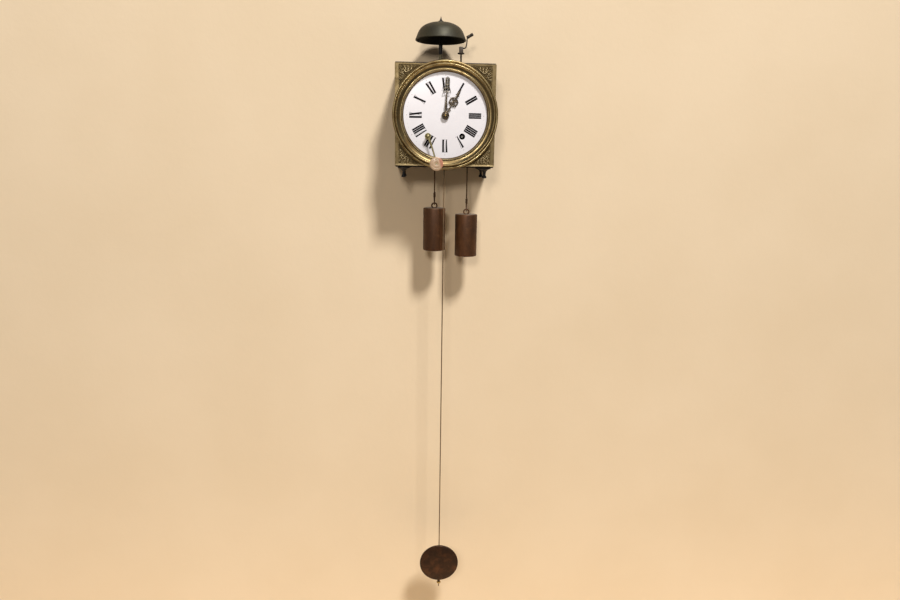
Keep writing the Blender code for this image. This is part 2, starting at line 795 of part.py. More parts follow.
def make_bottom_plate():
    outline = oblong(-CASE_HALF_WIDTH, CASE_HALF_WIDTH, PLATE_FRONT, PLATE_REAR)
    holes = [circle(bored(TENON_RADIUS), place) for place in pillar_places()]
    for x in (CORD_SEAT - DRUM_X, CORD_SEAT + DRUM_X):
        depths = (CORD_Y - CORD_SLOT_FORWARD, CORD_Y + CORD_SLOT_BACKWARD)
        holes.append(oblong(x - CORD_SLOT_HALF, x + CORD_SLOT_HALF, *depths))
    depths = (ROD_Y - SWING_SLOT_ROOM, ROD_Y + SWING_SLOT_ROOM)
    holes.append(oblong(-SWING_SLOT_HALF, SWING_SLOT_HALF, *depths))
    sheet = flat([outline] + holes, -CASE_HALF_HEIGHT, -INNER_HALF_HEIGHT, "Z")
    plate = solid("bottom_plate", sheet, "iron")
    joined(plate, *hinge_pins(-INNER_HALF_HEIGHT - FIT, PINTLE_LENGTH - INNER_HALF_HEIGHT))


def make_back_plate():
    low = (-CASE_HALF_WIDTH, -BACK_SHEET, -CASE_HALF_HEIGHT)
    solid("back_plate", block(low, (CASE_HALF_WIDTH, 0, CASE_HALF_HEIGHT)), "iron")


def make_pillars():
    names = ("left_rear_pillar", "left_front_pillar", "right_rear_pillar", "right_front_pillar")
    top = CASE_HALF_HEIGHT + FIT
    flange_low = -top - FOOT_FLANGE_HEIGHT
    for name, place in zip(names, pillar_places()):
        sections = [
            (FOOT_BASE_RADIUS, False, FOOT_BOTTOM),
            (FOOT_BASE_RADIUS, False, FOOT_BOTTOM + FOOT_BASE_HEIGHT),
            (FOOT_NECK_RADIUS, False, FOOT_BOTTOM + 2 * FOOT_BASE_HEIGHT),
            (FOOT_NECK_RADIUS, False, flange_low - FOOT_CONE_HEIGHT),
            (FOOT_FLANGE_RADIUS, False, flange_low),
            (FOOT_FLANGE_RADIUS, False, -top),
            (TENON_RADIUS, False, -top),
            (TENON_RADIUS, False, -FITTED_HALF_HEIGHT),
            (PILLAR_HALF, True, -FITTED_HALF_HEIGHT),
            (PILLAR_HALF, True, FITTED_HALF_HEIGHT),
            (TENON_RADIUS, False, FITTED_HALF_HEIGHT),
            (TENON_RADIUS, False, top),
            (RIVET_RADIUS, False, top),
            (TENON_RADIUS, False, top + RIVET_HEIGHT),
        ]
        solid(name, lofted(sections, "Z", place), "iron", (*place, 0))


def make_wall_hoop():
    spring = CASE_HALF_HEIGHT + HOOP_LEG
    arch = [math.pi * step / HOOP_STEPS for step in range(HOOP_STEPS + 1)]
    wide = HOOP_HALF_WIDTH
    points = [(wide, HOOP_Y, CASE_HALF_HEIGHT + FIT)]
    points += [(wide * math.cos(turn), HOOP_Y, spring + wide * math.sin(turn)) for turn in arch]
    points.append((-wide, HOOP_Y, CASE_HALF_HEIGHT + FIT))
    tube("wall_hoop", points, HOOP_WIRE, "iron")


def make_front_plate():
    out_x, out_z = FRONT_HALF_WIDTH, FRONT_HALF_HEIGHT
    tray = block((-out_x, FRONT_FACE, -out_z), (out_x, HEM_REAR, out_z))
    plate = solid("front_plate", tray, "stamped brass")
    inner_x, inner_z = out_x - FRONT_SHEET, out_z - FRONT_SHEET
    hollow = block((-inner_x, FRONT_FACE + FRONT_SHEET, -inner_z), (inner_x, 0, inner_z))
    hole = rod(FRONT_HOLE_RADIUS, FRONT_FACE - FRONT_SHEET, HEM_REAR, sides=BIG_SIDES)
    cut(plate, hollow, hole)
    in_x, in_z = inner_x - BORDER_WIDTH, inner_z - BORDER_WIDTH
    border = flat(
        [oblong(-inner_x, inner_x, -inner_z, inner_z), oblong(-in_x, in_x, -in_z, in_z)],
        FRONT_FACE - BORDER_RISE,
        FRONT_FACE + FRONT_SHEET / 2,
    )
    bosses = bmesh.new()
    size = Matrix.Diagonal((BOSS_LENGTH, 2 * BOSS_RISE, BOSS_WIDTH, 1))
    for side in (-1, 1):
        for end in (-1, 1):
            middle = (side * (out_x - BOSS_INSET), FRONT_FACE, end * (out_z - BOSS_INSET))
            lean = Matrix.Translation(middle) @ Matrix.Rotation(side * end * math.pi / 4, 4, "Y")
            bmesh.ops.create_uvsphere(bosses, u_segments=10, v_segments=6, radius=1 / 2, matrix=lean @ size)
    joined(plate, border, bosses)
    inside = block((-inner_x, FRONT_FACE + FRONT_SHEET, -inner_z), (inner_x, 0, inner_z))
    cut(plate, inside)


def make_bezel():
    pocket_face = DIAL_REAR - DIAL_THICKNESS - FIT
    width, depth = BEZEL_WIDTH, BEZEL_DEPTH
    profile = [(DIAL_POCKET, BEZEL_REAR)]
    profile += [(BEZEL_OPENING + width * out, BEZEL_REAR - depth * forward) for out, forward in BEZEL_SHARES]
    profile += [(BEZEL_OPENING, pocket_face), (DIAL_POCKET, pocket_face)]
    solid("bezel", turned(profile, sides=BIG_SIDES), "bezel brass")


def dome(radius):
    return DIAL_RISE * (1 - (radius / DIAL_RADIUS) ** 2)


def make_dial():
    radii = [DIAL_HOLE, DIAL_RADIUS * 3 / 5, DIAL_RADIUS]
    rear = [(radius, DIAL_REAR - dome(radius)) for radius in radii]
    front = [(radius, DIAL_REAR - DIAL_THICKNESS - dome(radius)) for radius in reversed(radii)]
    dial = solid("dial", turned(rear + front, sides=BIG_SIDES), "white enamel")
    places = (GOING_DRUM_AT, STRIKE_DRUM_AT)
    cut(dial, *[rod(WINDING_HOLE, BEZEL_FRONT, PLATE_FRONT, at=at, sides=FINE_SIDES) for at in places])


def make_doors():
    for name, side in (("left_door", -1), ("right_door", 1)):
        skin = sorted((side * (DOOR_OUTER_X - DOOR_SKIN), side * DOOR_OUTER_X))
        panel_rear = HINGE_Y - HINGE_RADIUS - FIT
        high = FITTED_HALF_HEIGHT
        panel = block((skin[0], DOOR_FRONT_Y, -high), (skin[1], panel_rear, high))
        door = solid(name, panel, "iron", (side * HINGE_X, HINGE_Y, 0))
        web = sorted((side * (HINGE_X - DOOR_WEB_HALF), side * (DOOR_OUTER_X - FIT)))
        bend = block((web[0], HINGE_Y - 2 * HINGE_RADIUS, -high), (web[1], HINGE_Y - HINGE_RADIUS / 2, high))
        barrel = rod(HINGE_RADIUS, -high, high, "Z", (side * HINGE_X, HINGE_Y))
        root = side * (DOOR_OUTER_X - FIT)
        tip = side * (DOOR_OUTER_X + KNOB_LENGTH)
        neck = (root + tip) / 2
        profile = [(0, root), (KNOB_ROOT, root), (KNOB_WAIST, neck), (KNOB_RADIUS, neck + side * FIT)]
        profile += [(KNOB_RADIUS / 2, tip), (0, tip)]
        knob = turned(profile, "X", (KNOB_Y, 0), WHEEL_SIDES)
        joined(door, bend, barrel, knob)
        seat = PINTLE_LENGTH + FIT
        holes = []
        for low, top in ((high - seat, high + FIT), (-high - FIT, seat - high)):
            holes.append(rod(bored(PINTLE_RADIUS), low, top, "Z", (side * HINGE_X, HINGE_Y)))
        cut(door, *holes)


# Frame of the movement

MESH_GREAT = GREAT_MODULE * (GREAT_TEETH + SECOND_LEAVES) / 2
MESH_SECOND = SECOND_MODULE * (SECOND_TEETH + THIRD_LEAVES) / 2
MESH_THIRD = THIRD_MODULE * (THIRD_TEETH + LAST_LEAVES) / 2
SECOND_AT = stepped(GOING_DRUM_AT, MESH_GREAT, math.radians(67.5))
THIRD_AT = stepped(SECOND_AT, MESH_SECOND, math.radians(76.8))
ESCAPE_AT = stepped(THIRD_AT, MESH_THIRD, math.acos(-THIRD_AT[0] / MESH_THIRD))
PIN_WHEEL_AT = stepped(STRIKE_DRUM_AT, MESH_GREAT, math.radians(67.5))
WARNING_AT = stepped(PIN_WHEEL_AT, MESH_SECOND, math.radians(99.6))
FLY_AT = stepped(WARNING_AT, MESH_THIRD, math.radians(84.7))
SETTING_MODULE = math.hypot(*SECOND_AT) / SETTING_TEETH


def bar(name, line, y, holes):
    ends = [(line[0][0], -FITTED_HALF_HEIGHT)] + line + [(line[-1][0], FITTED_HALF_HEIGHT)]
    loops = [strip(ends, BAR_HALF_WIDTH)] + [circle(bored(radius), place) for radius, place in holes]
    return solid(name, flat(loops, y, y + BAR_THICKNESS), "iron")


def make_bars():
    going = [GOING_DRUM_AT, SECOND_AT, THIRD_AT, ESCAPE_AT, ANCHOR_AT]
    strike = [STRIKE_DRUM_AT, PIN_WHEEL_AT, WARNING_AT, FLY_AT]
    bar("going_rear_bar", going, REAR_BAR_Y, [(PIVOT_RADIUS, place) for place in going])
    bar("strike_rear_bar", strike, REAR_BAR_Y, [(PIVOT_RADIUS, place) for place in strike])
    front = [(BUSH_RADIUS, GOING_DRUM_AT), (ARBOR_RADIUS, SECOND_AT), (PIVOT_RADIUS, THIRD_AT)]
    front += [(PIVOT_RADIUS, ESCAPE_AT), (ANCHOR_ARBOR, ANCHOR_AT)]
    bar("going_front_bar", going, FRONT_BAR_Y, front)
    front = [(BUSH_RADIUS, STRIKE_DRUM_AT)] + [(PIVOT_RADIUS, place) for place in strike[1:]]
    strike_front = bar("strike_front_bar", strike, FRONT_BAR_Y, front)
    lug_front = FRONT_BAR_Y + BAR_THICKNESS - BAR_LUG_OVERLAP
    lug_right = PIN_WHEEL_AT[0] - ARBOR_RADIUS
    joined(strike_front, block((BAR_LUG_LEFT, lug_front, LUG_LOW), (lug_right, BAR_LUG_REAR, LUG_HIGH)))
    cut(strike_front, rod(bored(PIVOT_RADIUS), LUG_LOW - FIT, LUG_HIGH + FIT, "Z", (HAMMER_X, HAMMER_Y)))


def make_motion_bridge():
    rear = BRIDGE_FRONT + BRIDGE_THICKNESS
    low = (BRIDGE_LEFT, BRIDGE_FRONT, -BRIDGE_HALF_HEIGHT)
    bridge = solid("motion_bridge", block(low, (BRIDGE_RIGHT, rear, BRIDGE_HALF_HEIGHT)), "wheel brass")
    inside = BRIDGE_FRONT + BRIDGE_THICKNESS / 2
    centre_stud = rod(STUD_RADIUS, STUD_TIP, inside)
    motion_stud = rod(STUD_RADIUS, MOTION_STUD_TIP, inside, at=MOTION_AT)
    joined(bridge, centre_stud, motion_stud)
    cut(bridge, rod(bored(ARBOR_RADIUS + RUN), BRIDGE_FRONT - FIT, rear + FIT, at=SECOND_AT))


def make_pendulum_cock():
    front, rear, sheet = COCK_FRONT, COCK_REAR, COCK_SHEET
    wide, stem = LUG_HALF_WIDTH, COCK_STEM_HALF
    cock = solid("pendulum_cock", block((-wide, front, COCK_WEB_LOW), (wide, rear, COCK_WEB_HIGH)), "iron")
    overlap = COCK_WEB_LOW + sheet
    joined(
        cock,
        block((-wide, front, COCK_LUG_LOW), (wide, front + sheet, overlap)),
        block((-wide, rear - sheet, COCK_LUG_LOW), (wide, rear, overlap)),
        block((-stem, front + 2 * sheet, overlap), (stem, rear - 2 * sheet, FITTED_HALF_HEIGHT)),
    )
    cut(cock, rod(bored(CROSS_PIN_RADIUS), front - sheet, rear + sheet, at=ANCHOR_AT))


# Trains


def make_winding(side_name, at):
    """Arbor with square, drum with ratchet, wound cord, great wheel and click of one train."""
    rear, bush_rear = REAR_BAR_Y + BAR_THICKNESS - FIT, FRONT_BAR_Y + BAR_THICKNESS + FIT
    square_rear = FRONT_BAR_Y - RUN
    sections = [
        (PIVOT_RADIUS, False, rear),
        (PIVOT_RADIUS, False, REAR_BAR_Y - FIT),
        (WINDING_ARBOR, False, REAR_BAR_Y - FIT),
        (WINDING_ARBOR, False, bush_rear),
        (BUSH_RADIUS, False, bush_rear),
        (BUSH_RADIUS, False, square_rear),
        (SQUARE_HALF, True, square_rear - RUN),
        (SQUARE_HALF, True, SQUARE_FRONT),
    ]
    origin = origin_of(at)
    solid(side_name + "_winding_arbor", lofted(sections, "Y", at), "steel", origin)
    profile = [
        (0, RATCHET_FRONT + RATCHET_THICKNESS),
        (SLEEVE_RADIUS, RATCHET_FRONT + RATCHET_THICKNESS),
        (SLEEVE_RADIUS, DRUM_REAR),
        (DRUM_FLANGE, DRUM_REAR),
        (DRUM_FLANGE, DRUM_REAR - FLANGE_THICKNESS),
        (DRUM_CORE, DRUM_REAR - FLANGE_THICKNESS),
        (DRUM_CORE, DRUM_FRONT + FLANGE_THICKNESS),
        (DRUM_FLANGE, DRUM_FRONT + FLANGE_THICKNESS),
        (DRUM_FLANGE, DRUM_FRONT),
        (0, DRUM_FRONT),
    ]
    drum = solid(side_name + "_drum", turned(profile, at=at, sides=16), "wheel brass", origin)
    teeth = hooked(RATCHET_TEETH, RATCHET_RADIUS, RATCHET_ROOT, 1 / 9)
    inset = RATCHET_THICKNESS / 8
    joined(drum, flat([teeth], RATCHET_FRONT, RATCHET_FRONT + RATCHET_THICKNESS - inset, at=at))
    cut(drum, rod(bored(WINDING_ARBOR), DRUM_FRONT - FIT, RATCHET_FRONT + RATCHET_THICKNESS + FIT, at=at))
    wheel = [toothed(GREAT_TEETH, GREAT_MODULE), circle(bored(WINDING_ARBOR))]
    sheet = flat(wheel, GREAT_FRONT, GREAT_FRONT + WHEEL_THICKNESS, at=at)
    great = solid(side_name + "_great_wheel", sheet, "wheel brass", origin)
    pivot = stepped(at, CLICK_REACH, CLICK_BEARING)
    joined(great, rod(CLICK_PIN, RATCHET_FRONT, GREAT_FRONT + FIT, at=pivot))
    make_click(side_name + "_click", at, pivot)
    make_cord_turns(side_name + "_cord_turns", at)


def make_click(name, at, pivot):
    """A pawl on the great wheel: its nose hangs just over the tips of the ratchet."""
    nose_reach, heel_reach = RATCHET_RADIUS + NOSE_GAP, CLICK_REACH + CLICK_HALF
    nose_turn, heel_turn, back_turn = math.radians(30), math.radians(14), math.radians(12)
    outline = [
        stepped(at, CLICK_REACH - CLICK_HALF, CLICK_BEARING - back_turn),
        stepped(at, heel_reach, CLICK_BEARING - back_turn),
        stepped(at, heel_reach, CLICK_BEARING + heel_turn),
        stepped(at, nose_reach + CLICK_HALF, CLICK_BEARING + nose_turn),
        stepped(at, nose_reach, CLICK_BEARING + nose_turn),
        stepped(at, CLICK_REACH - CLICK_HALF, CLICK_BEARING + heel_turn),
    ]
    loops = [outline, circle(bored(CLICK_PIN), pivot)]
    solid(name, flat(loops, RATCHET_FRONT, RATCHET_FRONT + RATCHET_THICKNESS), "steel", origin_of(pivot))


def make_cord_turns(name, at):
    """The cord that lies on the drum, from the front flange to the side where it hangs."""
    count = CORD_LOOPS * LOOP_POINTS
    straight = 2 * CORD_RADIUS
    points = []
    for step in range(count + 1):
        angle = math.tau * (count - step) / LOOP_POINTS
        along = CORD_Y - CORD_PITCH * (count - step) / LOOP_POINTS
        across, up = CORD_SEAT * math.cos(angle), CORD_SEAT * math.sin(angle)
        points.append(Vector((at[0] + across, along, at[1] + up)))
    lead = CORD_PITCH * straight / (math.tau * CORD_SEAT)
    points.insert(0, points[0] + Vector((0, -lead, straight)))
    points.append(points[-1] + Vector((0, 0, -straight)))
    loops = [Vector(point) for point in points]
    half_turn = LOOP_POINTS // 2
    gaps = [(a - b).length for index, a in enumerate(loops) for b in loops[index + half_turn :]]
    least = min(gaps) - 2 * CORD_RADIUS
    print(name, "least gap to itself in metres:", round(least, 6))
    tube(name, points, CORD_RADIUS, "cord", origin_of(at))


def geared_arbor(name, at, teeth, pinion, front, finish="wheel brass"):
    """A steel pinion arbor with its brass wheel: teeth and pinion are outlines with their layers."""
    rear = REAR_BAR_Y + BAR_THICKNESS - FIT
    profile = [
        (0, rear),
        (PIVOT_RADIUS, rear),
        (PIVOT_RADIUS, REAR_BAR_Y - FIT),
        (ARBOR_RADIUS, REAR_BAR_Y - FIT),
    ]
    if front < FRONT_BAR_Y:
        profile += [(ARBOR_RADIUS, front), (0, front)]
    else:
        shoulder = FRONT_BAR_Y + BAR_THICKNESS + FIT
        profile += [(ARBOR_RADIUS, shoulder), (PIVOT_RADIUS, shoulder), (PIVOT_RADIUS, front), (0, front)]
    arbor = solid(name, turned(profile, at=at, sides=WHEEL_SIDES), finish, origin_of(at))
    pieces = [flat([pinion[0]], pinion[1], pinion[2], at=at)]
    if teeth:
        pieces.append(flat([teeth[0]], teeth[1], teeth[1] + THIN_WHEEL, at=at))
    return joined(arbor, *pieces)


def make_going_train():
    tip = FRONT_BAR_Y + FIT
    phase = meshed_phase(GOING_DRUM_AT, SECOND_AT, GREAT_TEETH, 0, SECOND_LEAVES)
    pinion = (leaved(SECOND_LEAVES, GREAT_MODULE, phase), FIRST_PINION[0], FIRST_PINION[1])
    wheel = (toothed(SECOND_TEETH, SECOND_MODULE, phase), SECOND_FRONT)
    geared_arbor("second_wheel", SECOND_AT, wheel, pinion, SETTING_FRONT)
    phase = meshed_phase(SECOND_AT, THIRD_AT, SECOND_TEETH, phase, THIRD_LEAVES)
    pinion = (leaved(THIRD_LEAVES, SECOND_MODULE, phase), NEXT_PINION[0], NEXT_PINION[1])
    wheel = (toothed(THIRD_TEETH, THIRD_MODULE, phase), THIRD_FRONT)
    geared_arbor("third_wheel", THIRD_AT, wheel, pinion, tip)
    phase = meshed_phase(THIRD_AT, ESCAPE_AT, THIRD_TEETH, phase, LAST_LEAVES)
    pinion = (leaved(LAST_LEAVES, THIRD_MODULE, phase), LAST_PINION[0], LAST_PINION[1])
    hooks = hooked(ESCAPE_TEETH, ESCAPE_RADIUS, ESCAPE_ROOT, 1 / 4)
    geared_arbor("escape_wheel", ESCAPE_AT, (hooks, ESCAPE_FRONT), pinion, tip)


def make_strike_train():
    tip = FRONT_BAR_Y + FIT
    phase = meshed_phase(STRIKE_DRUM_AT, PIN_WHEEL_AT, GREAT_TEETH, 0, SECOND_LEAVES)
    pinion = (leaved(SECOND_LEAVES, GREAT_MODULE, phase), FIRST_PINION[0], FIRST_PINION[1])
    wheel = (toothed(SECOND_TEETH, SECOND_MODULE, phase), SECOND_FRONT)
    pin_wheel = geared_arbor("pin_wheel", PIN_WHEEL_AT, wheel, pinion, tip)
    pins = bmesh.new()
    for pin in range(LIFTING_PINS):
        place = stepped(PIN_WHEEL_AT, LIFTING_REACH, math.tau * pin / LIFTING_PINS)
        low, high = LIFTING_FRONT, SECOND_FRONT + THIN_WHEEL / 2
        centre = Matrix.Translation((place[0], (low + high) / 2, place[1]))
        bmesh.ops.create_cone(
            pins,
            cap_ends=True,
            segments=5,
            radius1=LIFTING_PIN,
            radius2=LIFTING_PIN,
            depth=high - low,
            matrix=centre @ Matrix.Rotation(math.pi / 2, 4, "X"),
        )
    joined(pin_wheel, pins)
    phase = meshed_phase(PIN_WHEEL_AT, WARNING_AT, SECOND_TEETH, phase, THIRD_LEAVES)
    pinion = (leaved(THIRD_LEAVES, SECOND_MODULE, phase), NEXT_PINION[0], NEXT_PINION[1])
    wheel = (toothed(THIRD_TEETH, THIRD_MODULE, phase), THIRD_FRONT)
    geared_arbor("warning_wheel", WARNING_AT, wheel, pinion, tip)
    phase = meshed_phase(WARNING_AT, FLY_AT, THIRD_TEETH, phase, LAST_LEAVES)
    pinion = (leaved(LAST_LEAVES, THIRD_MODULE, phase), LAST_PINION[0], LAST_PINION[1])
    fly = geared_arbor("fly", FLY_AT, None, pinion, tip)
    x, z = FLY_AT
    vane = block((x - VANE_REACH, VANE_FRONT, z - VANE_HALF), (x + VANE_REACH, VANE_REAR, z + VANE_HALF))
    joined(fly, rod(2 * ARBOR_RADIUS, VANE_FRONT - FIT, VANE_REAR + FIT, at=FLY_AT), vane)


def make_escapement():
    arc = [math.radians(step) for step in (50, 30, 10, -10, -30, -50)]
    outer = [stepped(ESCAPE_AT, PALLET_RADIUS + PALLET_DEPTH, math.pi / 2 + turn) for turn in arc]
    inner = [stepped(ESCAPE_AT, PALLET_RADIUS, math.pi / 2 + turn) for turn in reversed(arc)]
    half = THIN_WHEEL
    middle = ESCAPE_FRONT + THIN_WHEEL / 2
    pallets = flat([outer + inner], middle - half, middle + half)
    anchor = solid("anchor", pallets, "steel", origin_of(ANCHOR_AT))
    rear = REAR_BAR_Y + BAR_THICKNESS - FIT
    profile = [
        (0, rear),
        (PIVOT_RADIUS, rear),
        (PIVOT_RADIUS, REAR_BAR_Y - FIT),
        (ANCHOR_ARBOR, REAR_BAR_Y - FIT),
        (ANCHOR_ARBOR, ANCHOR_TIP),
        (0, ANCHOR_TIP),
    ]
    hub = rod(ANCHOR_HUB, middle - half - RUN, middle + half + RUN, at=ANCHOR_AT)
    joined(anchor, hub, turned(profile, at=ANCHOR_AT, sides=WHEEL_SIDES))


def make_crutch():
    front, rear = CRUTCH_FRONT, CRUTCH_FRONT + CRUTCH_SHEET
    foot, half = CRUTCH_FOOT, CRUTCH_HALF
    line = strip([ANCHOR_AT, (0, foot)], half)
    crutch = solid("crutch", flat([line], front, rear), "steel", origin_of(ANCHOR_AT))
    grow = FIT / 2
    hub = rod(ANCHOR_HUB, front - grow, rear + grow, at=ANCHOR_AT)
    fork = block((-FORK_HALF, front - grow, foot - half), (FORK_HALF, rear + grow, foot + half))
    reach = ROD_Y - ROD_RADIUS - RUN
    pins = [rod(FORK_PIN, reach, front + grow, at=(side * FORK_PIN_X, foot), sides=8) for side in (-1, 1)]
    joined(crutch, hub, fork, *pins)
    cut(crutch, rod(bored(ANCHOR_ARBOR), front - RUN, rear + RUN, at=ANCHOR_AT))


# Motion work and hands


def make_motion_work():
    phase = 0.0
    outline = [toothed(SETTING_TEETH, SETTING_MODULE, phase), circle(bored(ARBOR_RADIUS))]
    layer = (SETTING_FRONT, SETTING_FRONT + THIN_WHEEL)
    solid("setting_wheel", flat(outline, *layer, at=SECOND_AT), "wheel brass", origin_of(SECOND_AT))
    phase = meshed_phase(SECOND_AT, CENTRE, SETTING_TEETH, phase, SETTING_TEETH)
    pipe = rod(MINUTE_PIPE, MINUTE_PIPE_FRONT, layer[1] + FIT)
    minute_pipe = solid("minute_pipe", pipe, "wheel brass")
    cannon_wheel = flat([toothed(SETTING_TEETH, SETTING_MODULE, phase)], *layer)
    leaves = leaved(CANNON_LEAVES, MOTION_MODULE, 0)
    cannon_pinion = flat([leaves], CANNON_FRONT, CANNON_FRONT + CANNON_LENGTH)
    joined(minute_pipe, cannon_wheel, cannon_pinion)
    cut(minute_pipe, rod(bored(STUD_RADIUS), MINUTE_PIPE_FRONT - FIT, layer[1] + RUN))
    phase = meshed_phase(CENTRE, MOTION_AT, CANNON_LEAVES, 0, MOTION_TEETH)
    outline = [toothed(MOTION_TEETH, MOTION_MODULE, phase)]
    wheel = flat(outline, MOTION_FRONT, MOTION_FRONT + THIN_WHEEL, at=MOTION_AT)
    motion_wheel = solid("motion_wheel", wheel, "wheel brass", origin_of(MOTION_AT))
    leaves = leaved(MOTION_LEAVES, MOTION_MODULE, phase)
    joined(motion_wheel, flat([leaves], MOTION_PINION_FRONT, MOTION_FRONT + THIN_WHEEL / 2, at=MOTION_AT))
    bore = rod(bored(STUD_RADIUS), MOTION_PINION_FRONT - FIT, MOTION_FRONT + THIN_WHEEL + FIT, at=MOTION_AT)
    cut(motion_wheel, bore)
    phase = meshed_phase(MOTION_AT, CENTRE, MOTION_LEAVES, phase, HOUR_TEETH)
    wheel = flat([toothed(HOUR_TEETH, MOTION_MODULE, phase)], HOUR_WHEEL_FRONT, HOUR_WHEEL_FRONT + THIN_WHEEL)
    hour_wheel = solid("hour_wheel", wheel, "wheel brass")
    joined(hour_wheel, rod(HOUR_PIPE, HOUR_PIPE_FRONT, HOUR_WHEEL_FRONT + THIN_WHEEL / 2, sides=FINE_SIDES))
    cut(hour_wheel, rod(bored(MINUTE_PIPE), HOUR_PIPE_FRONT - FIT, HOUR_WHEEL_FRONT + THIN_WHEEL + FIT))


def hand(name, shares, length, half_width, angle, front, pipe, sides):
    """A flat hand: the first list of shares is its outline and the others are its pierced eyes."""
    drawn = [[(length * out, half_width * wide) for out, wide in half] for half in shares]
    loops = [turned_right(mirrored(half), angle) for half in drawn]
    rear = front + HAND_SHEET
    made = solid(name, flat(loops, front, rear), "dark bronze")
    joined(made, rod(HUB_RADIUS, front - FIT, rear + FIT, sides=FINE_SIDES))
    cut(made, rod(bored(pipe, sides), front - RUN, rear + RUN, sides=sides))


def make_hands():
    shares = [MINUTE_SHARES, MINUTE_LOW_EYE_SHARES, MINUTE_HIGH_EYE_SHARES]
    size = (MINUTE_LENGTH, MINUTE_HALF_WIDTH, MINUTE_ANGLE)
    hand("minute_hand", shares, *size, MINUTE_HAND_FRONT, MINUTE_PIPE, WHEEL_SIDES)
    shares = [HOUR_SHARES, HOUR_EYE_SHARES]
    size = (HOUR_LENGTH, HOUR_HALF_WIDTH, HOUR_ANGLE)
    hand("hour_hand", shares, *size, HOUR_HAND_FRONT, HOUR_PIPE, FINE_SIDES)


def make_bell():
    at = (BELL_X, BELL_Y)
    hole = bored(POST_THREAD, FINE_SIDES)
    thin_share, low_share = 1 - BELL_WALL / BELL_RADIUS, 1 - BELL_WALL / BELL_HEIGHT
    outside = [(BELL_RADIUS * out, BELL_HEIGHT * up) for out, up in BELL_SHARES]
    profile = [(radius, BELL_RIM_Z + rise) for radius, rise in outside]
    profile += [(hole, BELL_TOP_Z), (hole, BELL_TOP_Z - BELL_WALL)]
    profile += [(radius * thin_share, BELL_RIM_Z + rise * low_share) for radius, rise in reversed(outside)]
    solid("bell", turned(profile, "Z", at, 26), "bell metal")
    low = CASE_HALF_HEIGHT + FIT
    under = BELL_TOP_Z - BELL_WALL - FIT
    swell = POST_BULGE - POST_RADIUS
    profile = [
        (0, POST_NUT_LOW),
        (POST_NUT, POST_NUT_LOW),
        (POST_NUT, FITTED_HALF_HEIGHT),
        (POST_RADIUS, FITTED_HALF_HEIGHT),
        (POST_RADIUS, low),
        (POST_FOOT, low),
        (POST_FOOT, low + 2 * FLANGE_THICKNESS),
        (POST_RADIUS, low + 4 * FLANGE_THICKNESS),
    ]
    profile += [(POST_RADIUS + swell * out, low + (BELL_RIM_Z - low) * up) for up, out in POST_BULGE_SHARES]
    profile += [
        (POST_RADIUS, under - 2 * POST_BULGE),
        (POST_BULGE, under - POST_BULGE),
        (POST_BULGE, under),
        (POST_THREAD, under),
        (POST_THREAD, BELL_TOP_Z + NUT_GRIP),
        (0, BELL_TOP_Z + NUT_GRIP),
    ]
    solid("bell_post", turned(profile, "Z", at, WHEEL_SIDES), "iron")
    seat = BELL_TOP_Z + FIT
    inner = BELL_TOP_Z + NUT_GRIP + FIT
    radii = (SPIKE_RADIUS, SPIKE_TIP_RADIUS)
    profile = [
        (0, inner),
        (bored(POST_THREAD), inner),
        (bored(POST_THREAD), seat),
        (NUT_FLANGE, seat),
        (NUT_FLANGE, seat + 2 * FLANGE_THICKNESS),
        (NUT_WAIST, inner + FIT),
    ]
    profile += [(radius, BELL_TOP_Z + SPIKE_HEIGHT * up) for radius, up in zip(radii, SPIKE_SHARES)]
    profile.append((0, BELL_TOP_Z + SPIKE_HEIGHT))
    solid("bell_nut", turned(profile, "Z", at, WHEEL_SIDES), "iron")


def make_hammer():
    at = (HAMMER_X, HAMMER_Y)
    origin = (*at, 0)
    foot = LUG_HIGH + FIT
    profile = [
        (0, LUG_LOW + FIT),
        (PIVOT_RADIUS, LUG_LOW + FIT),
        (PIVOT_RADIUS, foot),
        (HAMMER_STEM, foot),
        (HAMMER_STEM, COLLAR_LOW),
        (COLLAR_RADIUS, COLLAR_LOW),
        (COLLAR_RADIUS, COLLAR_HIGH),
        (0, COLLAR_HIGH),
    ]
    stem = solid("hammer_stem", turned(profile, "Z", at, WHEEL_SIDES), "iron", origin)
    low = (HAMMER_X - BLOCK_HALF, HAMMER_Y - BLOCK_HALF, COLLAR_HIGH - FIT)
    head_block = block(low, (HAMMER_X + BLOCK_HALF, HAMMER_Y + BLOCK_HALF, BLOCK_TOP))
    tail = flat([strip([at, TAIL_END], TAIL_HALF)], TAIL_LOW, TAIL_HIGH, "Z")
    joined(stem, head_block, tail)
    start = Vector((HAMMER_X, HAMMER_Y, BLOCK_TOP))
    way = Vector(HEAD_AT) - start
    points = [start + way * Vector(shares) for shares in ARM_SHARES]
    tube("hammer_arm", points, ARM_RADIUS, "iron", origin)
    head = rod(HEAD_RADIUS, -HEAD_LENGTH / 2, HEAD_LENGTH / 2, "X", sides=16)
    tilted = Matrix.Translation(HEAD_AT) @ Matrix.Rotation(-HEAD_TILT, 4, "Y")
    bmesh.ops.transform(head, matrix=tilted, verts=head.verts)
    solid("hammer_head", head, "iron", origin)


# Pendulum


